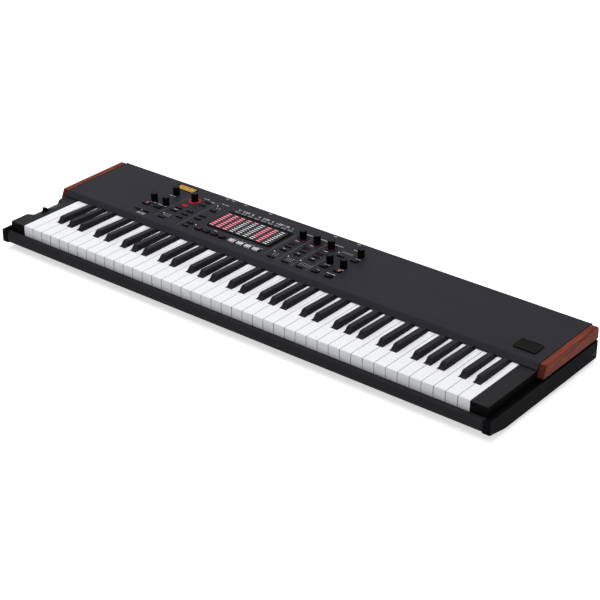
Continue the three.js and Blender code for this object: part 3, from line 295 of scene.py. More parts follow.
def copies(pattern: Piece, places: Iterable[Matrix]) -> list[Piece]:
    """Copies a pattern, each time with a mesh of its own, moved by a matrix.

    Args:
        pattern: The modelled object.
        places: Where the copies go.

    Returns:
        The copies.
    """
    made = []
    for place in places:
        piece = pattern.copy()
        piece.data = pattern.data.copy()
        piece.name = "part"
        piece.data.transform(place)
        bpy.context.scene.collection.objects.link(piece)
        made.append(piece)
    return made


def joined(name: str, parts: Iterable[Piece]) -> Piece:
    """Joins objects into one.

    Args:
        name: Name of the result.
        parts: The objects to join.

    Returns:
        The joined object.
    """
    members = list(parts)
    only(members[0])
    for member in members:
        member.select_set(True)
    if len(members) > 1:
        bpy.ops.object.join()
    whole = bpy.context.object
    whole.name = name
    return whole


def discard_patterns() -> None:
    """Removes the patterns once their copies are made."""
    for piece in list(bpy.data.objects):
        if piece.name.startswith(PATTERN):
            bpy.data.objects.remove(piece)


def clean_copy(node: str) -> Piece:
    """Copies a frame node and merges its loose triangles into flat faces.

    Args:
        node: The frame node.

    Returns:
        The merged copy.
    """
    made = bpy.data.objects.new(f"{node}_finished", frame["nodes"][node].data.copy())
    bpy.context.scene.collection.objects.link(made)
    only(made)
    bpy.ops.object.mode_set(mode="EDIT")
    bpy.ops.mesh.select_all(action="SELECT")
    bpy.ops.mesh.remove_doubles(threshold=MERGE_DISTANCE)
    bpy.ops.mesh.dissolve_limited(angle_limit=FLAT_ANGLE)
    leave_edit()
    return made


# Materials


class Shader:
    """A material's nodes, with short calls for those that the finishes share."""

    def __init__(self, name: str) -> None:
        """Starts a material with its main surface node.

        Args:
            name: The material's name.
        """
        self.material = bpy.data.materials.new(name)
        self.material.use_nodes = True
        self.tree = self.material.node_tree
        self.surface = self.tree.nodes["Principled BSDF"]
        self.place = self.tree.nodes.new("ShaderNodeTexCoord").outputs["Object"]

    def fill(self, node: bpy.types.Node, values: dict[str, object]) -> bpy.types.Node:
        """Sets or links a node's inputs.

        Args:
            node: The node.
            values: Constants and sockets, by the input's name in lower case with underscores.

        Returns:
            The node.
        """
        for name, value in values.items():
            target = node.inputs[name.replace("_", " ").title().replace("Ior", "IOR")]
            if isinstance(value, Socket):
                self.tree.links.new(value, target)
            else:
                target.default_value = value
        return node

    def node(self, kind: str, **values: object) -> bpy.types.Node:
        """Adds a node, by its type without the ShaderNode prefix, and fills its inputs."""
        return self.fill(self.tree.nodes.new(f"ShaderNode{kind}"), values)

    def give(self, **values: object) -> None:
        """Fills inputs of the surface node."""
        self.fill(self.surface, values)

    def noise(self, size: float, detail: float = 3.0, stretch: Triple = (1, 1, 1)) -> Socket:
        """Adds noise.

        Args:
            size: Size of a grain in metres.
            detail: Number of finer layers.
            stretch: Scale along X, Y and Z.

        Returns:
            The noise value.
        """
        grid = self.node("Mapping", scale=stretch, vector=self.place).outputs["Vector"]
        grains = self.node("TexNoise", scale=1 / size, detail=detail, vector=grid)
        return grains.outputs["Fac"]

    def ramp(self, value: Socket, reach: Pair, ends: Pair = (0, 1)) -> Socket:
        """Maps one range of a value to another.

        Args:
            value: The value.
            reach: The range that it comes from.
            ends: The range that it goes to.

        Returns:
            The mapped value.
        """
        node = self.node(
            "MapRange",
            value=value,
            from_min=reach[0],
            from_max=reach[1],
            to_min=ends[0],
            to_max=ends[1],
        )
        return node.outputs["Result"]

    def span(self, noise: Socket, low: float = 0, high: float = 1) -> Socket:
        """Maps the middle of a noise value to a range."""
        return self.ramp(noise, (0.3, 0.7), (low, high))

    def worn(
        self, roughness: float, wear: float = 0.03, size: float = 6 * MM, detail: float = 4
    ) -> Socket:
        """Gives a patchy roughness, from just under a value to a little wear over it."""
        return self.span(self.noise(size, detail), roughness - 0.02, roughness + wear)

    def blend(self, share: Socket, first: Triple, second: Triple) -> Socket:
        """Mixes two colours.

        Args:
            share: How much of the second.
            first: Colour at 0.
            second: Colour at 1.

        Returns:
            The mixed colour.
        """
        node = self.node("Mix", factor=share)
        node.data_type = "RGBA"
        node.inputs[COLOR_A].default_value = (*first, 1)
        node.inputs[COLOR_B].default_value = (*second, 1)
        return node.outputs[COLOR_RESULT]

    def bump(self, height: Socket, depth: float, strength: float) -> None:
        """Raises the surface by a height value.

        Args:
            height: The height value.
            depth: Real depth of the relief in metres.
            strength: How strongly it shows.
        """
        relief = self.node("Bump", distance=depth, strength=strength, height=height)
        self.give(normal=relief.outputs["Normal"])


def tint(color: Triple, share: float) -> Triple:
    """Multiplies a colour."""
    return tuple(min(1.0, channel * share) for channel in color)


class Surface:
    """What every finish shares."""

    def wire(self, shader: Shader) -> None:
        """Fills the shader; each kind of finish has its own."""
        raise NotImplementedError

    def material(self, name: str) -> Material:
        """Builds the material.

        Args:
            name: The material's name.

        Returns:
            The material.
        """
        shader = Shader(name)
        self.wire(shader)
        return shader.material


@dataclass(frozen=True)
class MouldedPlastic(Surface):
    """Moulded plastic with a fine spark-eroded grain."""

    color: Triple
    roughness: float = 0.42
    specular: float = 0.04
    grain: float = 0.35 * MM
    relief: float = 0.02 * MM
    coat: float = 0.0
    mottle: float = 0.03
    coat_roughness: float = 0.12
    # Size of a grain and number of finer layers, of the colour's clouds and of the worn patches
    cloud: Pair = (22 * MM, 3)
    patch: Pair = (6 * MM, 4)
    wear: float = 0.03

    def wire(self, shader: Shader) -> None:
        """Gives a clouded colour, a patchy roughness and a fine grain.

        Args:
            shader: The shader to fill.
        """
        low, high = tint(self.color, 1 - self.mottle), tint(self.color, 1 + self.mottle)
        shader.give(
            base_color=shader.blend(shader.span(shader.noise(*self.cloud)), low, high),
            roughness=shader.worn(self.roughness, self.wear, *self.patch),
            specular_ior_level=self.specular,
            coat_weight=self.coat,
            coat_roughness=self.coat_roughness,
        )
        shader.bump(shader.noise(self.grain, 2), self.relief, 0.25)


@dataclass(frozen=True)
class PowderCoat(MouldedPlastic):
    """Painted sheet metal with a fine orange-peel grain."""

    grain: float = 0.6 * MM
    relief: float = 0.04 * MM
    mottle: float = 0.04
    coat_roughness: float = 0.03
    cloud: Pair = (60 * MM, 2)
    patch: Pair = (14 * MM, 5)
    wear: float = 0.02


@dataclass(frozen=True)
class KeySide(Surface):
    """The flank of a white key, in shade between two fronts."""

    color: Triple
    shade: Triple
    reach: float = 4 * MM
    roughness: float = 0.4
    specular: float = 0.1

    def wire(self, shader: Shader) -> None:
        """Paints shade: a colour that darkens towards the key's front.

        Args:
            shader: The shader to fill.
        """
        back = shader.node("SeparateXYZ", vector=shader.place).outputs["Y"]
        lit = shader.ramp(back, (KEY_FRONT, KEY_FRONT + self.reach))
        shader.give(
            base_color=shader.blend(lit, self.shade, self.color),
            roughness=shader.worn(self.roughness),
            specular_ior_level=self.specular,
        )


@dataclass(frozen=True)
class LacqueredWood(Surface):
    """Red-brown stained wood with long grain, pores and a satin lacquer."""

    light: Triple
    dark: Triple
    roughness: float = 0.45
    specular: float = 0.03
    fine_share: float = 0.35

    def wire(self, shader: Shader) -> None:
        """Gives broad and fine grain along Y, and pores.

        Args:
            shader: The shader to fill.
        """
        broad = shader.noise(5 * MM, 4, (1, 0.08, 1))
        fine = shader.noise(1.3 * MM, 6, (1, 0.04, 1))
        figure = shader.node("Mix", factor=self.fine_share, a=broad, b=fine).outputs["Result"]
        shader.give(
            base_color=shader.blend(shader.span(figure), self.dark, self.light),
            roughness=shader.span(fine, self.roughness + 0.05, self.roughness - 0.04),
            specular_ior_level=self.specular,
        )
        shader.bump(shader.noise(0.5 * MM, 3, (1, 0.03, 1)), 0.05 * MM, 0.3)


@dataclass(frozen=True)
class Metal(Surface):
    """Plain or plated metal with fine draw lines."""

    color: Triple
    roughness: float = 0.32
    lines: Triple = (1, 40, 1)

    def wire(self, shader: Shader) -> None:
        """Gives streaks to the colour, the roughness and the relief.

        Args:
            shader: The shader to fill.
        """
        streak = shader.noise(1.5 * MM, 4, self.lines)
        shader.give(
            base_color=shader.blend(shader.span(streak), tint(self.color, 0.88), self.color),
            roughness=shader.span(streak, self.roughness - 0.06, self.roughness + 0.1),
            metallic=1.0,
        )
        shader.bump(streak, 0.02 * MM, 0.2)


@dataclass(frozen=True)
class Lamp(Surface):
    """A lit lens or an unlit one, a little uneven across its face."""

    color: Triple
    glow: float = 1.0
    body: Triple = (0.02, 0.02, 0.02)
    specular: float = 0.02

    def wire(self, shader: Shader) -> None:
        """Gives an uneven body and an uneven glow.

        Args:
            shader: The shader to fill.
        """
        patch = shader.span(shader.noise(2.5 * MM, 2))
        shader.give(
            base_color=shader.blend(patch, tint(self.body, 0.88), tint(self.body, 1.12)),
            emission_color=shader.blend(patch, tint(self.color, 0.88), self.color),
            roughness=0.3,
            specular_ior_level=self.specular,
            emission_strength=self.glow,
        )


class Finish(Enum):
    """Every finish of the organ."""

    CASE = PowderCoat((0.003, 0.0032, 0.004), 0.55, 0.018)
    # Painted light: the front rail takes a lighter copy of the case's black paint, for the light on
    # its ledge and top edge.
    RAIL = PowderCoat((0.019, 0.019, 0.0205), 0.55, 0.03)
    PANEL = PowderCoat((0.0205, 0.0205, 0.026), 0.5, 0.05)
    WOOD = LacqueredWood((0.29, 0.064, 0.037), (0.08, 0.017, 0.011))
    # Painted shade: a darker copy of the wood for the cheeks' front faces, which sit in shade.
    WOOD_END = LacqueredWood((0.12, 0.03, 0.019), (0.035, 0.009, 0.006))
    WHITE_KEY = MouldedPlastic((0.94, 0.94, 0.955), 0.28, 0.3, 0.4 * MM, 0.0006 * MM, 0.15, 0.004)
    # Painted shade: the key fronts take a darker copy of the white plastic, for the shade on them.
    WHITE_KEY_FRONT = MouldedPlastic(
        (0.74, 0.74, 0.76), 0.32, 0.2, 0.4 * MM, 0.0006 * MM, 0.1, 0.004
    )
    # Painted shade: the key flanks are darker than the tops and darker still towards the front.
    WHITE_KEY_SIDE = KeySide((0.66, 0.66, 0.68), (0.1, 0.1, 0.105))
    BLACK_KEY = MouldedPlastic((0.016, 0.016, 0.0185), 0.38, 0.05)
    BLOCK = MouldedPlastic((0.018, 0.018, 0.0195), 0.5, 0.05)
    # Painted shade: a darker copy of the block plastic for its sides and front.
    BLOCK_SIDE = MouldedPlastic((0.004, 0.004, 0.0044), 0.5, 0.015)
    LEVER = MouldedPlastic((0.004, 0.004, 0.0045), 0.45, 0.03)
    KNOB = MouldedPlastic((0.003, 0.003, 0.0032), 0.35, 0.04)
    KNOB_CAP = MouldedPlastic((0.012, 0.012, 0.0125), 0.4, 0.04)
    # Painted shade and light: the black buttons' sides are painted blacker and their tops lighter
    # than the same plastic.
    BUTTON = MouldedPlastic((0.001, 0.001, 0.0011), 0.5, 0.01)
    BUTTON_TOP = MouldedPlastic((0.017, 0.017, 0.0178), 0.45, 0.04)
    GREY_TOP = MouldedPlastic((0.56, 0.57, 0.575), 0.5, 0.1)
    WINDOW = MouldedPlastic((0.001, 0.001, 0.0011), 0.3, 0.01, 0.5 * MM, 0.002 * MM)
    WINDOW_INNER = MouldedPlastic((0.008, 0.008, 0.0085), 0.2, 0.08, 0.5 * MM, 0.002 * MM)
    LENS_DARK = MouldedPlastic((0.002, 0.0018, 0.0018), 0.25, 0.02, 0.5 * MM, 0.002 * MM)
    SOCKET = MouldedPlastic((0.004, 0.004, 0.004), 0.5, 0.04)
    RUBBER = MouldedPlastic((0.006, 0.006, 0.006), 0.85, 0.02, 0.5 * MM, 0.06 * MM)
    BOARD = MouldedPlastic((0.014, 0.1, 0.04), 0.4, 0.3, 1.2 * MM, 0.05 * MM)
    BADGE = MouldedPlastic((0.0015, 0.0015, 0.0017), 0.3, 0.03, 0.4 * MM, 0.004 * MM)
    STEEL = Metal((0.5, 0.51, 0.52), 0.34)
    NICKEL = Metal((0.36, 0.35, 0.335), 0.3, (1, 1, 1))
    SCREW = Metal((0.02, 0.02, 0.022), 0.5, (1, 1, 1))
    PRINT = MouldedPlastic((0.62, 0.62, 0.63), 0.6, 0.05, 0.3 * MM, 0.004 * MM)
    SOFT_PRINT = MouldedPlastic((0.34, 0.34, 0.35), 0.6, 0.05, 0.3 * MM, 0.004 * MM)
    FAINT_PRINT = MouldedPlastic((0.12, 0.12, 0.125), 0.6, 0.05, 0.3 * MM, 0.004 * MM)
    LAMP_PINK = Lamp((1.0, 0.35, 0.46), 1.0, (0.2, 0.04, 0.05))
    # Painted glow: the light of the lit lamps on the pane round them.
    LAMP_GLOW = Lamp((0.1, 0.003, 0.018), 1.0, (0.01, 0.002, 0.003))
    LAMP_OFF = Lamp((0.0, 0.0, 0.0), 0.0, (0.78, 0.78, 0.8))
    LAMP_RED = Lamp((0.82, 0.015, 0.03), 1.0, (0.05, 0.002, 0.003))
    LAMP_RING = Lamp((0.5, 0.008, 0.016), 1.0, (0.05, 0.002, 0.003))
    LAMP_DIM = Lamp((0.022, 0.003, 0.0045), 1.0, (0.008, 0.002, 0.0025))
    LAMP_SOFT = Lamp((0.42, 0.085, 0.12), 1.0, (0.05, 0.01, 0.015))
    LAMP_PALE = Lamp((0.66, 0.27, 0.32), 1.0, (0.1, 0.04, 0.05))
    LAMP_EMBER = Lamp((0.09, 0.012, 0.016), 1.0, (0.01, 0.003, 0.003))
    LAMP_WHITE = Lamp((1.0, 1.0, 1.0), 0.8, (0.5, 0.5, 0.5))
    AMBER = Lamp((0.62, 0.36, 0.075), 1.0, (0.06, 0.03, 0.008))
    AMBER_MARK = Lamp((0.2, 0.09, 0.015), 1.0, (0.04, 0.02, 0.005))

    @property
    def surface(self) -> Material:
        """The material, built once."""
        name = f"{self.name.lower()}_finish"
        return bpy.data.materials.get(name) or self.value.material(name)


def paint(piece: Piece, finish: Finish, test: Callable[[Polygon], bool]) -> None:
    """Gives the faces that pass a test a further finish.

    Args:
        piece: The dressed object.
        finish: The further finish.
        test: Says which faces get it.
    """
    piece.data.materials.append(finish.surface)
    index = len(piece.data.materials) - 1
    for face in piece.data.polygons:
        if test(face):
            face.material_index = index


def dress(piece: Piece, finish: Finish) -> None:
    """Gives a piece one finish all over."""
    piece.data.materials.clear()
    piece.data.materials.append(finish.surface)


def mount(
    piece: Piece, finish: Finish, body: str = CASE, stands_for: tuple[str, ...] = ()
) -> Piece:
    """Dresses a piece and fastens it to its body.

    Args:
        piece: The finished object.
        finish: Its finish.
        body: The body that it rides on.
        stands_for: Frame nodes that it replaces.

    Returns:
        The piece.
    """
    dress(piece, finish)
    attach(piece, body)
    if stands_for:
        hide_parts(*stands_for)
    log.info("%s: %d faces", piece.name, len(piece.data.polygons))
    return piece


def place_all(
    name: str, pattern: Piece, places: Iterable[Matrix], finish: Finish, body: str = CASE
) -> None:
    """Mounts copies of a pattern as one piece.

    Args:
        name: The piece's name.
        pattern: The modelled pattern.
        places: Where its copies go.
        finish: Their finish.
        body: The body that they ride on.
    """
    mount(joined(name, copies(pattern, places)), finish, body)


def refine(node: str, finish: Finish, width: float, steps: int, limit: float) -> Piece:
    """Replaces a frame node by a copy with rounded edges.

    Args:
        node: The frame node.
        finish: Its finish.
        width: Width of the rounded edges.
        steps: Steps across an edge.
        limit: Least angle of a rounded edge in degrees.

    Returns:
        The new piece.
    """
    piece = soften(clean_copy(node), width, steps, limit)
    return mount(piece, finish, frame["nodes"][node]["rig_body"], (node,))


def sunk_window(node: str, up: Vector, rim: float, sunk: float) -> Piece:
    """Replaces a window of the frame by one with a rim round a sunk pane.

    Args:
        node: The frame node.
        up: The way it faces.
        rim: Width of the rim.
        sunk: Depth of the pane.

    Returns:
        The new piece.
    """
    piece = clean_copy(node)
    inset_and_push(piece, facing(up, 0.995), rim, -up * sunk)
    return mount(soften(piece, 0.15 * MM), Finish.WINDOW, CASE, (node,))


# The control panel's plane


@dataclass(frozen=True)
class PanelPlane:
    """The top panel's surface: across from the keyboard's left end, and back from the crease."""

    origin: Vector
    back: Vector
    normal: Vector
    depth: float = 169.7 * MM

    @classmethod
    def from_frame(cls, knob_row: float = 69.07 * MM, gap: float = 0.3 * MM) -> "PanelPlane":
        """Reads the plane from the volume knob's joint.

        Args:
            knob_row: How far the volume knob stands behind the crease.
            gap: Space between the left block and the first key.

        Returns:
            The plane.
        """
        turn = next(item for item in frame["joints"] if item["name"] == "volume_knob_turn")
        normal = Vector(turn["axis"]).normalized()
        back = Vector((0, normal.z, -normal.y))
        keyboard_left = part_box("key_block_left")[1].x + gap
        on_crease = Vector(turn["pos_m"]) - back * knob_row
        return cls(Vector((keyboard_left, on_crease.y, on_crease.z)), back, normal)

    def upright(self, spot: Vector) -> Matrix:
        """Gives the matrix of something that stands on the panel at a point of the frame."""
        turn = Matrix((Vector((1, 0, 0)), self.back, self.normal)).transposed().to_4x4()
        return Matrix.Translation(spot) @ turn

    def matrix(self, across: float, back: float, up: float = 0.0) -> Matrix:
        """Places something on the panel.

        Args:
            across: Distance from the keyboard's left end.
            back: Distance behind the crease.
            up: Height over the panel.

        Returns:
            The matrix from the piece's own upright frame.
        """
        reach = Vector((across, 0, 0)) + self.back * back + self.normal * up
        return self.upright(self.origin + reach)

    def spots(self, points: Iterable[Pair], up: float = 0.0) -> list[Matrix]:
        """Places something at several points, given in millimetres."""
        return [self.matrix(across * MM, back * MM, up) for across, back in points]


# Sub-assemblies


@dataclass
class CaseShell:
    """The folded case, its feet and the boards inside."""

    edge: float = 0.8 * MM
    sheet_edge: float = 0.35 * MM
    foot_edge: float = 0.6 * MM
    screw_radius: float = 3.4 * MM
    screw_hole: float = 1.53 * MM
    screw_height: float = 0.35 * MM
    # Radius and height of the floor in its hole
    screw_floor: Pair = (1.7 * MM, 0.06 * MM)
    # Behind the frame's origin, and over the floor
    screw_spot: Pair = (157.5 * MM, 19.8 * MM)

    def screws(self) -> None:
        """Puts a socket-head screw in each side panel."""
        rim = tube(self.screw_radius, self.screw_hole, self.screw_height, 24)
        head = joined(PATTERN, [soften(rim, 0.12 * MM), disc(*self.screw_floor, 6)])
        for side, node in ((-1, "side_panel_left"), (1, "side_panel_right")):
            low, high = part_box(node)
            place = Matrix.Translation((low.x if side < 0 else high.x, *self.screw_spot))
            turn = Matrix.Rotation(side * math.pi / 2, 4, "Y")
            place_all(f"{node}_screw", head, [place @ turn], Finish.SCREW)

    def build(self) -> None:
        """Finishes the shell, and dresses the pieces inside, which keep their frame meshes."""
        for node in ("side_panel_left", "side_panel_right"):
            refine(node, Finish.CASE, self.edge, 3, 30)
        # The rail's lighter paint is painted light on its ledge and top edge.
        refine("front_rail", Finish.RAIL, self.sheet_edge, 2, 50)
        for node in ("bottom_tray", "rear_panel"):
            refine(node, Finish.CASE, self.sheet_edge, 2, 50)
        for end in ("front_left", "front_right", "rear_left", "rear_right"):
            refine(f"foot_{end}", Finish.RUBBER, self.foot_edge, 3, 50)
        self.screws()
        for node in ("keybed_chassis", "power_supply"):
            dress(frame["nodes"][node], Finish.STEEL)
        for node in ("key_contact_board", "panel_board", "main_board"):
            dress(frame["nodes"][node], Finish.BOARD)


@dataclass
class Cheeks:
    """The two wooden cheeks."""

    plane: PanelPlane
    edge: float = 0.8 * MM
    # Width and height of the dark strip of painted shade over each cheek's gap
    gap_shade_width: float = 1.5 * MM
    gap_shade_height: float = 0.12 * MM

    def build(self) -> None:
        """Finishes both cheeks, with painted shade on their front faces, and a dark strip of
        painted shade over the gap between each and the panel.
        """
        # Painted shade: a thin dark strip over the gap between the panel and each cheek, where
        # shade falls.
        line = slab(self.gap_shade_width, self.plane.depth, self.gap_shade_height)
        shade_strips = []
        for side, wall in zip(("left", "right"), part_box("top_panel")):
            piece = refine(f"wood_cheek_{side}", Finish.WOOD, self.edge, 3, 25)
            # Painted shade: front-facing faces take the darker wood.
            paint(piece, Finish.WOOD_END, lambda face: face.normal.y < -0.6)
            across = wall.x - self.plane.origin.x
            shade_strips += copies(line, [self.plane.matrix(across, self.plane.depth / 2)])
        mount(joined("cheek_seams", shade_strips), Finish.LENS_DARK)


@dataclass
class KeyEnds:
    """The blocks at the ends of the keyboard, with the lever."""

    left_edge: float = 0.4 * MM
    right_edge: float = 0.8 * MM
    lever_edge: float = 0.6 * MM

    def build(self) -> None:
        """Finishes the blocks and the lever."""
        left = refine("key_block_left", Finish.BLOCK, self.left_edge, 2, 40)
        right = refine("key_block_right", Finish.BLOCK, self.right_edge, 3, 50)
        for piece in (left, right):
            # Painted shade: faces that do not face up take the darker plastic.
            paint(piece, Finish.BLOCK_SIDE, lambda face: face.normal.z < 0.5)
        refine("pitch_lever", Finish.LEVER, self.lever_edge, 3, 40)


@dataclass
class Keyboard:
    """The eighteen key combs."""

    sets: int = 6
    white_edge: float = 0.75 * MM
    black_edge: float = 1.1 * MM

    def build(self) -> None:
        """Finishes every comb."""
        for index in range(1, self.sets + 1):
            for letter in "ab":
                comb = f"white_comb_{index}{letter}"
                piece = refine(comb, Finish.WHITE_KEY, self.white_edge, 3, 60)
                # Painted shade: the flanks take the darker white.
                paint(piece, Finish.WHITE_KEY_SIDE, lambda face: abs(face.normal.x) > 0.9)
                # Painted shade: front-facing faces take the darker white.
                paint(piece, Finish.WHITE_KEY_FRONT, lambda face: face.normal.y < -0.7)
            refine(f"black_comb_{index}", Finish.BLACK_KEY, self.black_edge, 4, 50)


@dataclass
class TopPanel:
    """The top panel with its printed dividers."""

    plane: PanelPlane
    edge: float = 0.25 * MM
    line: float = 1.0 * MM
    # Each divider in millimetres: distance across, and where it starts and ends behind the crease
    dividers: tuple[Triple, ...] = (
        (174.6, 20, 125), (237.5, 14, 139), (443, 18, 120),
        (476.5, 17, 124), (510, 18, 125), (544.3, 20.5, 84),
    )

    def build(self) -> None:
        """Finishes the panel, paints shade on its rear-facing faces and prints its dividers."""
        piece = refine("top_panel", Finish.PANEL, self.edge, 2, 50)
        # Painted shade: faces of the panel that face backwards take the darker case paint, for the
        # dark line along its back edge.
        paint(piece, Finish.CASE, lambda face: face.normal.y > 0.35)
        lines = []
        for across, start, end in self.dividers:
            line = slab(self.line, (end - start) * MM, INK)
            lines += copies(line, self.plane.spots([(across, (start + end) / 2)]))
        mount(joined("panel_dividers", lines), Finish.FAINT_PRINT)


@dataclass
class Legends:
    """The printed legends: rows of short marks, numbers and small grids."""

    plane: PanelPlane
    mark: Pair = (1.2 * MM, 1.7 * MM)
    mark_gap: float = 0.25 * MM
    dash: Pair = (2.8 * MM, 1.4 * MM)
    # Rows, all in millimetres: where each starts and ends across, and how far behind the crease
    rows: tuple[Triple, ...] = (
        (128, 141.3, 63), (146.6, 169.2, 62.8), (137.6, 151.8, 107.5), (137, 145, 24),
        (138.5, 158.6, 14.3), (138.5, 158.6, 10.4), (186, 194, 66), (202, 215, 136.5),
        (222.4, 231.8, 131.8), (244.5, 261.6, 139.2), (309.6, 316.7, 41.5), (455, 463, 103.4),
        (488, 496.6, 104), (523, 531, 102.4), (453.6, 464.2, 77.5), (485.8, 499.5, 77.5),
        (520.5, 533.7, 77.2), (456, 462, 65), (489, 495, 65.5), (523, 529, 65),
        (554.5, 566, 61.6), (557.5, 563.8, 36), (578, 597, 38), (587, 597.5, 113),
        (590, 598.2, 61.5), (563, 572, 139), (235, 243, 162), (250, 258, 162),
        (281, 289, 162), (343, 351, 162), (499, 507, 162), (554, 562, 162),
    )
    # The rows behind the four grey buttons
    grey_rows: tuple[Triple, ...] = (
        (359, 372, 38.5), (378.4, 391.4, 38.5), (397.8, 410.8, 38.5), (417.2, 430.2, 38.5),
    )
    label_height: float = 2.6 * MM
    label_bars: tuple[Triple, ...] = (
        (454, 470.6, 136), (488.2, 504.6, 136.5), (523.4, 541.8, 135),
    )
    # Grids, in millimetres: start and end across, start and end behind the crease
    grids: tuple[Quad, ...] = (
        (187, 202, 31, 44), (247, 260, 115, 121), (455, 468, 30, 43),
        (488, 504, 28, 43), (517, 547, 30, 43), (551, 576, 116, 124),
    )
    grid_pitch: Pair = (5.5 * MM, 4.5 * MM)
    feet: tuple[str, ...] = ("16", "5 1/3", "8", "4", "2 2/3", "2", "1 3/5", "1 1/3", "1")
    feet_start: float = 291.5 * MM
    feet_pitch: float = 16.2 * MM
    feet_back: float = 138 * MM
    feet_height: float = 5.2 * MM
    # Two finer lines under each number: their ends either side of it, and their distances back
    feet_line: Pair = (-5, 6)
    feet_lines: Pair = (130.5, 127.5)

    def row(self, row: Triple) -> list[Matrix]:
        """Finds the places of one row's marks, with a gap between the words of a long one.

        Args:
            row: Its start, end and distance behind the crease, in millimetres.

        Returns:
            The places.
        """
        start, end, back = (value * MM for value in row)
        count = max(2, round((end - start) / (self.mark[0] + self.mark_gap)))
        return [
            self.plane.matrix(start + (end - start) * (index + 0.5) / count, back)
            for index in range(count)
            if count <= 6 or index != count // 2
        ]

    def grid(self, area: Quad) -> list[Matrix]:
        """Finds the places of one small grid's marks.

        Args:
            area: Its start and end across and behind the crease, in millimetres.

        Returns:
            The places.
        """
        left, right, near, far = (value * MM for value in area)
        columns = max(2, round((right - left) / self.grid_pitch[0]))
        lines = max(2, round((far - near) / self.grid_pitch[1]))
        return [
            self.plane.matrix(
                left + (right - left) * (column + 0.5) / columns,
                near + (far - near) * (line + 0.5) / lines,
            )
            for column in range(columns)
            for line in range(lines)
        ]

    def build(self) -> None:
        """Prints everything."""
        small, dash = slab(*self.mark, INK), slab(*self.dash, INK)
        places = [spot for row in self.rows for spot in self.row(row)]
        place_all("panel_legends", small, places, Finish.PRINT)
        numbers = []
        fine = list(self.grey_rows)
        for index, text in enumerate(self.feet):
            across = self.feet_start + index * self.feet_pitch
            place = self.plane.matrix(across, self.feet_back)
            numbers += copies(numeral(text, self.feet_height), [place])
            left, right = (across / MM + side for side in self.feet_line)
            fine += [(left, right, back) for back in self.feet_lines]
        mount(joined("panel_numbers", numbers), Finish.PRINT)
        soft = copies(dash, [spot for area in self.grids for spot in self.grid(area)])
        soft += copies(small, [spot for row in fine for spot in self.row(row)])
        for start, end, back in self.label_bars:
            bar = slab((end - start) * MM, self.label_height, INK)
            soft += copies(bar, self.plane.spots([((start + end) / 2, back)]))
        mount(joined("panel_grids", soft), Finish.SOFT_PRINT)


@dataclass
class DrawbarWindow:
    """The smoked window and its nine columns of lamps."""

    plane: PanelPlane
    rim: float = 3.0 * MM
    sunk: float = 0.25 * MM
    surface: float = 1.3 * MM
    first: float = 289 * MM
    pitch: float = 16.2 * MM
    near: float = 57.5 * MM
    step: float = 6.7 * MM
    lamp: Triple = (8.8 * MM, 2.8 * MM, 0.22 * MM)
    lamp_edge: float = 0.09 * MM
    slot_width: float = 10 * MM
    slot_corner: float = 1.0 * MM
    slot_height: float = 0.04 * MM
    glow_height: float = 0.08 * MM
    # The black surround, and the millimetres to its middle
    surround: Quad = (156.2 * MM, 76.2 * MM, 0.25 * MM, 7 * MM)
    surround_middle: Pair = (358.4, 86.9)
    lamps: int = 9
    # How many lamps are lit in each column, counted from its far end
    lit: tuple[int, ...] = (9, 9, 9, 1, 1, 0, 7, 9, 0)

    def frame_window(self) -> None:
        """Gives the window its black rim and sunk grey pane."""
        up = self.plane.normal
        piece = sunk_window("drawbar_window", up, self.rim, self.sunk)
        level = self.plane.origin.dot(up) + self.surface - self.sunk

        def is_pane(face: Polygon) -> bool:
            """Says whether a face belongs to the sunk pane."""
            return face.normal.dot(up) > 0.99 and abs(face.center.dot(up) - level) < 0.05 * MM

        paint(piece, Finish.WINDOW_INNER, is_pane)

    def strip(self, across: float, start: int, height: float) -> list[Piece]:
        """Lays a flat strip behind a column, up to its far end.

        Args:
            across: The column's place across.
            start: First lamp that it reaches.
            height: Its height over the pane.

        Returns:
            The strip, alone in a list.
        """
        count = self.lamps - start
        plate = slab(self.slot_width, count * self.step, height, self.slot_corner)
        middle = self.near + (start + self.lamps - 1) / 2 * self.step
        return copies(plate, [self.plane.matrix(across, middle, self.surface - self.sunk)])

    def build(self) -> None:
        """Finishes the window and lights the lamps."""
        middle = self.plane.spots([self.surround_middle])
        black = slab(*self.surround)
        place_all("window_surround", black, middle, Finish.WINDOW)
        self.frame_window()
        lamp = soften(slab(*self.lamp), self.lamp_edge)
        on, off, slots, glows = [], [], [], []
        for index, lit in enumerate(self.lit):
            across = self.first + index * self.pitch
            spots = [
                self.plane.matrix(across, self.near + place * self.step, self.surface - self.sunk)
                for place in range(self.lamps)
            ]
            dark = self.lamps - lit
            off += copies(lamp, spots[:dark])
            on += copies(lamp, spots[dark:])
            slots += self.strip(across, 0, self.slot_height)
            # Painted glow: a faintly glowing strip under the lit lamps, for their light on the
            # pane.
            if lit:
                glows += self.strip(across, dark, self.glow_height)
        for name, parts, finish in (
            ("drawbar_slots", slots, Finish.LENS_DARK),
            ("drawbar_lamp_glow", glows, Finish.LAMP_GLOW),
            ("drawbar_lamps_on", on, Finish.LAMP_PINK),
            ("drawbar_lamps_off", off, Finish.LAMP_OFF),
        ):
            mount(joined(name, parts), finish)


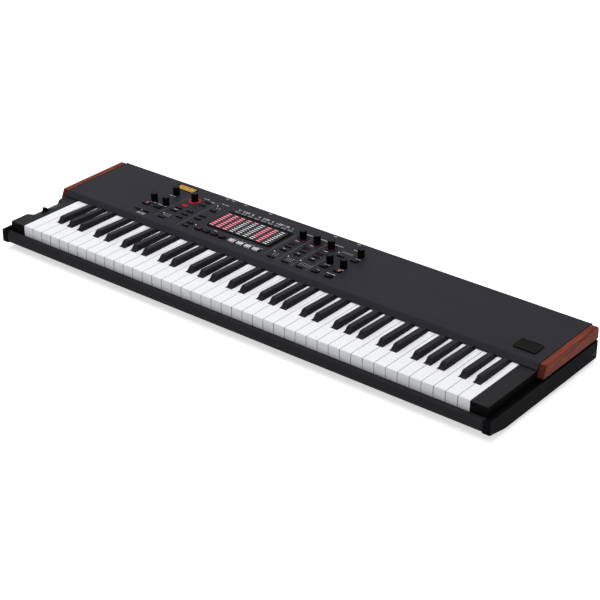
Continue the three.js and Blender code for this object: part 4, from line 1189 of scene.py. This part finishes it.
@dataclass
class Display:
    """The amber display strip behind its dark bezel."""

    plane: PanelPlane
    rim: float = 1.4 * MM
    sunk: float = 0.3 * MM
    surface: float = 1.0 * MM
    middle: Pair = (145.4 * MM, 148 * MM)
    width: float = 40.8 * MM
    depth: float = 14.8 * MM
    corner: float = 0.6 * MM
    field_height: float = 0.12 * MM
    margin: float = 1.5 * MM
    line_marks: int = 16
    line_offset: float = 3.3 * MM
    # Share of its pitch that a mark fills, and its depth
    mark_share: float = 0.68
    mark_depth: float = 3.8 * MM

    def build(self) -> None:
        """Finishes the bezel, the lit field and its faint characters."""
        sunk_window("display_lens", self.plane.normal, self.rim, self.sunk)
        floor = self.surface - self.sunk
        across, back = self.middle
        field = slab(self.width, self.depth, self.field_height, self.corner)
        places = [self.plane.matrix(across, back, floor)]
        place_all("display_field", field, places, Finish.AMBER)
        pitch = (self.width - 2 * self.margin) / self.line_marks
        left = across - self.width / 2 + self.margin
        places = [
            self.plane.matrix(
                left + (index + 0.5) * pitch,
                back + line * self.line_offset,
                floor + self.field_height,
            )
            for line in (-1, 1)
            for index in range(self.line_marks)
            if (index * 5 + line * 3) % 7
        ]
        mark = slab(pitch * self.mark_share, self.mark_depth, INK)
        place_all("display_characters", mark, places, Finish.AMBER_MARK)


@dataclass
class Indicators:
    """The two-digit readouts, the lit rings round four knobs, and the small round lamps."""

    plane: PanelPlane
    digit_width: float = 5.2 * MM
    digit_height: float = 8.0 * MM
    digit_offset: float = 3.224 * MM
    stroke: float = 1.1 * MM
    # Space at each bar's ends for its neighbours, as a share of the stroke
    flat_gap: float = 1.4
    upright_gap: float = 0.9
    bar_height: float = 0.1 * MM
    bar_corner: float = 0.4 * MM
    readout: Quad = (15.08 * MM, 10.2 * MM, 0.5 * MM, 0.8 * MM)
    ring_inner: float = 8.9 * MM
    ring_outer: float = 11.8 * MM
    dim_ring_outer: float = 12.0 * MM
    ring_height: float = 0.9 * MM
    ring_edge: float = 0.3 * MM
    dot: Pair = (1.1 * MM, 0.35 * MM)
    # Places in millimetres, across and behind the crease; the first readout is bright
    readouts: tuple[Pair, ...] = ((193.4, 88), (460, 88), (492, 89), (525.5, 86))
    dots: tuple[Pair, ...] = (
        (183.5, 40.2), (244.6, 126.1), (266.6, 38), (452, 45.1),
        (484.9, 45), (513.1, 45.5), (548, 113.7),
    )

    def digits(self) -> Piece:
        """Models two seven-bar digits on the origin.

        Returns:
            The digits.
        """
        line, solid = self.stroke, (self.bar_height, self.bar_corner)
        flat = slab(self.digit_width - self.flat_gap * line, line, *solid)
        upright = slab(line, self.digit_height / 2 - self.upright_gap * line, *solid)
        aside, apart = (self.digit_width - line) / 2, (self.digit_height - line) / 2
        flats, uprights = [], []
        for middle in (-self.digit_offset, self.digit_offset):
            flats += [(middle, level * apart) for level in (-1, 0, 1)]
            uprights += [
                (middle + side * aside, level * self.digit_height / 4)
                for side in (-1, 1)
                for level in (-1, 1)
            ]
        bars = copies(flat, [Matrix.Translation((*spot, 0)) for spot in flats])
        bars += copies(upright, [Matrix.Translation((*spot, 0)) for spot in uprights])
        return joined(PATTERN, bars)

    def rings(self) -> None:
        """Places the lit ring round the dial and the dim ones round the effect knobs."""
        bright, dim = (
            soften(tube(outer, self.ring_inner, self.ring_height, 64), self.ring_edge, 3)
            for outer in (self.ring_outer, self.dim_ring_outer)
        )
        for item in frame["joints"]:
            knob = item["name"].removesuffix("_turn")
            if knob == "program_dial":
                pattern, finish = bright, Finish.LAMP_RING
            elif knob.startswith("effect_knob"):
                pattern, finish = dim, Finish.LAMP_DIM
            else:
                continue
            place = self.plane.upright(Vector(item["pos_m"]))
            place_all(f"{knob}_ring", pattern, [place], finish)

    def build(self) -> None:
        """Places every indicator."""
        digits = self.digits()
        window = soften(slab(*self.readout), 0.15 * MM)
        plates = self.plane.spots(self.readouts)
        place_all("readout_windows", window, plates, Finish.LENS_DARK)
        lit, *dim = self.plane.spots(self.readouts, self.readout[2])
        place_all("readout_lit", digits, [lit], Finish.LAMP_RED)
        place_all("readouts_dim", digits, dim, Finish.LAMP_DIM)
        self.rings()
        lamp = soften(disc(*self.dot, 16), 0.15 * MM)
        place_all("indicator_lamps", lamp, self.plane.spots(self.dots), Finish.LAMP_WHITE)


@dataclass
class Knobs:
    """Fluted knobs with a top disc and a pointer line."""

    plane: PanelPlane
    radius: float = 6.8 * MM
    height: float = 16.4 * MM
    lift: float = 0.5 * MM
    flutes: int = 24
    flute_inset: float = 0.12 * MM
    flute_depth: float = 0.35 * MM
    shoulder: float = 0.5 * MM
    top_rim: float = 0.9 * MM
    top_sunk: float = 0.3 * MM
    shaft_radius: float = 3 * MM
    shaft_depth: float = 7.9 * MM
    cap_margin: float = 1.5 * MM
    cap_height: float = 0.25 * MM
    # Where the pointer starts and how far it stops from the barrel's side
    pointer_ends: Pair = (1.5 * MM, 1.7 * MM)
    pointer_width: float = 0.7 * MM
    pointer_height: float = 0.12 * MM

    def barrel(self) -> Piece:
        """Models one knob barrel, upright on the origin.

        Returns:
            The barrel.
        """
        piece = disc(self.radius, self.height - self.shoulder, self.flutes * 2)
        choose(piece, self.is_groove)
        bpy.ops.mesh.inset(thickness=self.flute_inset, use_individual=True)
        bpy.ops.transform.shrink_fatten(value=-self.flute_depth)
        leave_edit()
        choose(piece, facing(UP))
        for inset, rise in ((self.shoulder, self.shoulder), (self.top_rim, -self.top_sunk)):
            bpy.ops.mesh.inset(thickness=inset)
            bpy.ops.transform.translate(value=(0, 0, rise))
        leave_edit()
        return soften(piece, 0.12 * MM, 2, 35)

    def is_groove(self, face: bmesh.types.BMFace) -> bool:
        """Says whether a face is one of the grooves.

        Args:
            face: A face of the barrel.

        Returns:
            Whether it is sunk.
        """
        middle = face.calc_center_median()
        turn = math.atan2(middle.y, middle.x) / (2 * math.pi) * self.flutes * 2
        return abs(face.normal.z) < 0.1 and math.floor(turn) % 2 == 0

    def build(self) -> None:
        """Places every knob."""
        barrel = self.barrel()
        depth = self.shaft_depth + self.lift
        shaft = disc(self.shaft_radius, depth, 24)
        sunk = Matrix.Translation((0, 0, -depth))
        cap = soften(disc(self.radius - self.cap_margin, self.cap_height, 40), 0.1 * MM)
        start, end = self.pointer_ends[0], self.radius - self.pointer_ends[1]
        pointer = slab(self.pointer_width, end - start, self.pointer_height)
        soften(pointer, 0.04 * MM, 1)
        floor = self.height - self.top_sunk
        on_floor = Matrix.Translation((0, 0, floor))
        on_cap = Matrix.Translation((0, (start + end) / 2, floor + self.cap_height))
        for item in frame["joints"]:
            if not item["name"].endswith("_turn"):
                continue
            node = item["child"]
            place = self.plane.upright(Vector(item["pos_m"]) + self.plane.normal * self.lift)
            parts = copies(barrel, [place]) + copies(shaft, [place @ sunk])
            whole = joined(f"{node}_finished", parts)
            mount(whole, Finish.KNOB, node, (node,))
            for name, pattern, rise, finish in (
                ("cap", cap, on_floor, Finish.KNOB_CAP),
                ("pointer", pointer, on_cap, Finish.FAINT_PRINT),
            ):
                place_all(f"{node}_{name}", pattern, [place @ rise], finish, node)


@dataclass
class Buttons:
    """The seven strips of buttons, with the lenses in the large ones."""

    plane: PanelPlane
    edge: float = 0.35 * MM
    rise: float = 2.8 * MM
    least_top: float = 1.5 * MM
    lens: Quad = (5.4 * MM, 6.6 * MM, 0.12 * MM, 0.8 * MM)
    # From a button's middle to its lens, in millimetres
    lens_offset: float = 3.5
    # The lenses of one strip and finish: places of their buttons in millimetres
    lenses: tuple[tuple[str, str, Finish, tuple[Pair, ...]], ...] = (
        ("preset", "lit", Finish.LAMP_EMBER, ((281.5, 28),)),
        ("preset", "dark", Finish.LENS_DARK, ((300.9, 28), (320.3, 28), (339.7, 28))),
        ("drawbar", "lit", Finish.LAMP_PALE, ((365, 28),)),
        ("transpose", "lit", Finish.LAMP_SOFT, ((127, 50.6),)),
        ("transpose", "dark", Finish.LENS_DARK, ((157, 50.6),)),
        ("master", "dark", Finish.LENS_DARK, ((560, 27.5), (560, 52.9), (591, 27.5))),
        ("master", "lit", Finish.LAMP_SOFT, ((591, 52.9),)),
    )

    def strip(self, name: str, top: Finish, slot: str) -> None:
        """Finishes one strip, with painted shade on the black sides and its own top finish.

        Args:
            name: The strip's node.
            top: Finish of the button tops.
            slot: The record's material slot; not used.
        """
        up = self.plane.normal
        panel = self.plane.origin.dot(up)
        front_too = top is Finish.GREY_TOP

        def is_top(face: Polygon) -> bool:
            """Says whether a face takes the top's finish."""
            slope = face.normal.dot(up)
            upward = slope > 0.8 and face.center.dot(up) > panel + self.least_top
            return upward or (front_too and abs(slope) < 0.8 and face.normal.x < 0.3)

        # Painted shade and light: every button's sides take the blacker finish; the black buttons'
        # tops are a lighter copy for the light on them, while the grey buttons' tops and fronts are
        # their own grey.
        paint(refine(name, Finish.BUTTON, self.edge, 2, 40), top, is_top)

    def build(self) -> None:
        """Finishes every strip and sets the lenses."""
        for name in ("preset", "transpose", "voice", "rotor", "effect", "master"):
            self.strip(f"{name}_buttons", Finish.BUTTON_TOP, "button_plastic")
        self.strip("drawbar_buttons", Finish.GREY_TOP, "light_button")
        lens = slab(*self.lens)
        for strip, state, finish, buttons in self.lenses:
            points = [(across + self.lens_offset, back) for across, back in buttons]
            name, places = f"{strip}_buttons", self.plane.spots(points, self.rise)
            place_all(f"{name}_lenses_{state}", lens, places, finish, name)


@dataclass
class BadgePlate:
    """The bare badge plate at the right of the panel."""

    plane: PanelPlane
    # In millimetres, across and behind the crease
    middle: Pair = (1001, 34.5)
    size: Quad = (44 * MM, 31 * MM, 2.6 * MM, 3.0 * MM)
    edge: float = 0.4 * MM
    rim: float = 2.0 * MM
    sunk: float = 0.6 * MM

    def build(self) -> None:
        """Models the plate with a raised rim round a bare field."""
        plate = slab(*self.size)
        inset_and_push(plate, facing(UP), self.rim, -UP * self.sunk)
        soften(plate, self.edge, 3, 35)
        place_all("badge_plate", plate, self.plane.spots([self.middle]), Finish.BADGE)


@dataclass
class Rear:
    """Sockets and power at the back."""

    wall: float = 168.1 * MM
    inlet_face: float = 170.0 * MM
    # Rings: outer and inner radius, and height
    nut: Triple = (6.4 * MM, 4.3 * MM, 1.4 * MM)
    bushing: Triple = (4.4 * MM, 3.25 * MM, 2.2 * MM)
    ring: Triple = (8.4 * MM, 7.0 * MM, 0.7 * MM)
    # Discs: radius and height
    core: Pair = (6.0 * MM, 0.5 * MM)
    pin: Pair = (0.75 * MM, 0.5 * MM)
    # Plates: width, depth, height and corner
    shell: Quad = (10.4 * MM, 9.6 * MM, 0.7 * MM, 1.0 * MM)
    shell_wall: float = 0.8 * MM
    tongue: Quad = (5.2 * MM, 2.8 * MM, 6.5 * MM, 0.4 * MM)
    blade: Quad = (2.0 * MM, 4.4 * MM, 12 * MM, 0.5 * MM)
    core_depth: float = 8.7 * MM
    pins: int = 5
    pin_circle: float = 3.8 * MM
    tongue_depth: float = 9.5 * MM
    blade_depth: float = 17 * MM
    # Each blade: across and over the inlet's middle
    blade_spots: tuple[Pair, ...] = ((-7 * MM, 1.4 * MM), (0, -2.0 * MM), (7 * MM, 1.4 * MM))
    mark: Pair = (1.1 * MM, 1.4 * MM)
    mark_pitch: float = 1.45 * MM
    legend_marks: int = 6
    legend_height: float = 49.8 * MM
    rocker_tilt: float = -7.0
    # The rocker's outer face: how far it stands out at its ends and middle, and half its height
    rocker_end: float = 4.6 * MM
    rocker_middle: float = 3.1 * MM
    rocker_half: float = 9.6 * MM
    rocker_mark: Pair = (0.7 * MM, 3.4 * MM)
    rocker_ring: Pair = (1.7 * MM, 1.1 * MM)
    rocker_ink: float = 0.06 * MM
    jacks: tuple[str, ...] = (
        "left_output_socket",
        "right_output_socket",
        "headphone_socket",
        "pedal_a_socket",
        "pedal_b_socket",
    )
    rounds: tuple[str, ...] = ("midi_in_socket", "midi_out_socket")
    square: tuple[str, ...] = ("usb_socket",)

    def stand(self, across: float, wall: float, height: float) -> Matrix:
        """Gives the matrix of something that stands on a rear face."""
        return Matrix.Translation((across, wall, height)) @ Matrix.Rotation(-math.pi / 2, 4, "X")

    def spots(
        self,
        names: Iterable[str],
        wall: float,
        depth: float = 0.0,
        points: Iterable[Pair] = ((0.0, 0.0),),
    ) -> list[Matrix]:
        """Finds where a fitting's copies stand in the openings of a rear face.

        Args:
            names: Names of the record's openings.
            wall: Where the face is.
            depth: How far inside the face they stand.
            points: Their places round the middle of each opening.

        Returns:
            The matrix of each copy.
        """
        openings = {item["name"]: item["box_m"] for item in frame["record"]["physics"]["openings"]}
        places = []
        for low, high in (openings[name] for name in names):
            middle = self.stand((low[0] + high[0]) / 2, wall, (low[2] + high[2]) / 2)
            places += [middle @ Matrix.Translation((*point, -depth)) for point in points]
        return places

    def fittings(self) -> None:
        """Gives every socket its nut, ring, core, pins, tongue or blades."""
        nut = soften(tube(*self.nut, 6), 0.25 * MM)
        bushing = soften(tube(*self.bushing, 32), 0.2 * MM)
        ring = soften(tube(*self.ring, 40), 0.2 * MM)
        core = soften(disc(*self.core, 32), 0.2 * MM)
        pin = soften(disc(*self.pin, 12), 0.2 * MM)
        shell = soften(pierce(slab(*self.shell), self.shell_wall), 0.15 * MM)
        tongue = soften(slab(*self.tongue), 0.2 * MM)
        blade = soften(slab(*self.blade), 0.3 * MM)
        jacks, rounds = self.spots(self.jacks, self.wall), self.spots(self.rounds, self.wall)
        turns = [math.pi * step / (self.pins - 1) for step in range(self.pins)]
        circle = [(self.pin_circle * math.cos(a), self.pin_circle * math.sin(a)) for a in turns]
        cores = self.spots(self.rounds, self.wall, self.core_depth)
        pins = self.spots(self.rounds, self.wall, self.core_depth - self.core[1], circle)
        tongues = self.spots(self.square, self.wall, self.tongue_depth)
        blades = self.spots(["mains_inlet"], self.inlet_face, self.blade_depth, self.blade_spots)
        for name, pattern, places, finish in (
            ("jack_nuts", nut, jacks, Finish.NICKEL),
            ("jack_bushings", bushing, jacks, Finish.BADGE),
            ("round_socket_shells", ring, rounds, Finish.NICKEL),
            ("round_socket_cores", core, cores, Finish.BADGE),
            ("round_socket_pins", pin, pins, Finish.NICKEL),
            ("usb_shell", shell, self.spots(self.square, self.wall), Finish.NICKEL),
            ("usb_tongue", tongue, tongues, Finish.GREY_TOP),
            ("inlet_blades", blade, blades, Finish.NICKEL),
        ):
            place_all(name, pattern, places, finish)

    def rocker_marks(self) -> None:
        """Marks the power rocker's ends I and O."""
        joint = next(item for item in frame["joints"] if item["child"] == "power_rocker")
        tilt = Matrix.Rotation(math.radians(self.rocker_tilt), 4, "X")
        axle = Matrix.Translation(joint["pos_m"]) @ tilt
        out_at = (self.rocker_end + self.rocker_middle) / 2
        on = slab(*self.rocker_mark, self.rocker_ink)
        off = tube(*self.rocker_ring, self.rocker_ink, 32)
        across = Vector((-1, 0, 0))
        marks = []
        for side, mark in ((1, on), (-1, off)):
            up = Vector((0, side * (self.rocker_end - self.rocker_middle), self.rocker_half))
            up.normalize()
            turn = Matrix((across, up, across.cross(up))).transposed().to_4x4()
            spot = Matrix.Translation((0, out_at, side * self.rocker_half / 2))
            marks += copies(mark, [axle @ spot @ turn])
        mount(joined("rocker_marks", marks), Finish.PRINT, "power_rocker")

    def legends(self) -> None:
        """Prints a short legend over each socket."""
        middle = (self.legend_marks - 1) / 2
        spots = self.spots((*self.jacks, *self.rounds, *self.square), self.wall)
        across = [
            spot.translation.x + (index - middle) * self.mark_pitch
            for spot in spots
            for index in range(self.legend_marks)
        ]
        places = [self.stand(place, self.wall, self.legend_height) for place in across]
        place_all("rear_legends", slab(*self.mark, INK), places, Finish.SOFT_PRINT)

    def build(self) -> None:
        """Finishes the socket row, the inlet and the rocker."""
        refine("rear_jack_row", Finish.SOCKET, 0.25 * MM, 2, 50)
        refine("power_inlet", Finish.SOCKET, 0.3 * MM, 2, 50)
        refine("power_rocker", Finish.SOCKET, 0.4 * MM, 2, 30)
        self.fittings()
        self.rocker_marks()
        self.legends()


# Studio


def seen_directly(tree: bpy.types.NodeTree) -> Socket:
    """Tells the camera's, mirrored and refracted rays from those that light the object.

    Args:
        tree: The node tree that needs it.

    Returns:
        A value of 1 for those rays and 0 for the others.
    """
    path = tree.nodes.new("ShaderNodeLightPath")
    total = path.outputs["Is Camera Ray"]
    for kind in ("Is Glossy Ray", "Is Transmission Ray"):
        added = tree.nodes.new("ShaderNodeMath")
        added.operation = "ADD"
        added.use_clamp = True
        tree.links.new(total, added.inputs[0])
        tree.links.new(path.outputs[kind], added.inputs[1])
        total = added.outputs[0]
    return total


@dataclass
class Studio:
    """Pale floor, soft lamps and the camera at the photograph's angle."""

    place: Triple = (1.7003, -2.1091, 1.4435)
    look: Triple = (-0.54591, 0.69399, -0.46943)
    roll: float = 0.438
    focal_pixels: float = 1691.2
    image_side: float = 600
    sensor: float = 36.0
    reach: float = 50
    room: float = 0.38
    room_color: Triple = (0.95, 0.97, 1.0)
    floor_side: float = 12
    floor_grey: float = 0.93
    floor_glow: float = 0.6
    overhead_power: float = 50.0
    front_power: float = 2.0

    def hang(self, name: str, data: bpy.types.ID, place: Triple, way: Vector) -> Piece:
        """Adds a camera or a lamp.

        Args:
            name: Its name.
            data: Its camera or lamp settings.
            place: Where it hangs.
            way: The way it faces.

        Returns:
            The new object.
        """
        holder = bpy.data.objects.new(name, data)
        turn = way.to_track_quat("-Z", "Y").to_matrix().to_4x4()
        holder.matrix_world = Matrix.Translation(place) @ turn
        bpy.context.scene.collection.objects.link(holder)
        return holder

    def camera(self) -> None:
        """Sets the camera."""
        data = bpy.data.cameras.new("camera")
        data.sensor_width = self.sensor
        data.lens = self.focal_pixels / self.image_side * self.sensor
        data.clip_end = self.reach
        holder = self.hang("camera", data, self.place, Vector(self.look))
        holder.matrix_world @= Matrix.Rotation(math.radians(self.roll), 4, "Z")
        bpy.context.scene.camera = holder

    def lamp(self, name: str, place: Triple, size: float, power: float, aim: Triple) -> None:
        """Adds a soft square lamp.

        Args:
            name: The lamp's name.
            place: Where it hangs.
            size: Its side in metres.
            power: Its power in watts.
            aim: The point that it faces.
        """
        data = bpy.data.lights.new(name, "AREA")
        data.energy = power
        data.size = size
        self.hang(name, data, place, Vector(aim) - Vector(place))

    def world(self) -> None:
        """Lights the room evenly and shows a white backdrop to the camera, metal and glass."""
        world = bpy.data.worlds.new("studio")
        bpy.context.scene.world = world
        world.use_nodes = True
        tree = world.node_tree
        shade, white = tree.nodes["Background"], tree.nodes.new("ShaderNodeBackground")
        mix = tree.nodes.new("ShaderNodeMixShader")
        tree.links.new(seen_directly(tree), mix.inputs["Fac"])
        for index, node, color, strength in (
            (1, shade, self.room_color, self.room),
            (2, white, (1, 1, 1), 1.0),
        ):
            node.inputs["Color"].default_value = (*color, 1)
            node.inputs["Strength"].default_value = strength
            tree.links.new(node.outputs["Background"], mix.inputs[index])
        tree.links.new(mix.outputs["Shader"], tree.nodes["World Output"].inputs["Surface"])

    def floor(self) -> None:
        """Lays the pale floor."""
        bpy.ops.mesh.primitive_plane_add(size=self.floor_side, location=(0, 0, 0))
        ground = bpy.context.object
        ground.name = "floor"
        shader = Shader("floor")
        strength = shader.node("Math")
        strength.operation = "MULTIPLY"
        strength.inputs[1].default_value = self.floor_glow
        shader.tree.links.new(seen_directly(shader.tree), strength.inputs[0])
        shader.give(
            base_color=(self.floor_grey, self.floor_grey, self.floor_grey, 1),
            emission_color=(1, 1, 1, 1),
            emission_strength=strength.outputs[0],
            roughness=0.9,
            specular_ior_level=0.1,
        )
        ground.data.materials.append(shader.material)

    def build(self) -> None:
        """Sets up the whole studio."""
        self.camera()
        self.world()
        self.floor()
        self.lamp("overhead_lamp", (-0.2, -0.4, 2.4), 3.0, self.overhead_power, (-0.1, 0, 0))
        self.lamp("front_lamp", (0.9, -2.6, 1.3), 1.6, self.front_power, (0, 0, 0))
        bpy.context.scene.view_settings.view_transform = "Standard"


def main() -> None:
    """Builds the studio and the organ in order."""
    logging.basicConfig(level=logging.INFO, format="%(name)s: %(message)s")
    Studio().build()
    plane = PanelPlane.from_frame()
    for assembly in (
        CaseShell(),
        Cheeks(plane),
        KeyEnds(),
        Keyboard(),
        TopPanel(plane),
        Legends(plane),
        DrawbarWindow(plane),
        Display(plane),
        Indicators(plane),
        Knobs(plane),
        Buttons(plane),
        BadgePlate(plane),
        Rear(),
    ):
        log.info("building %s", type(assembly).__name__)
        assembly.build()
        discard_patterns()


if __name__ == "__main__":
    main()
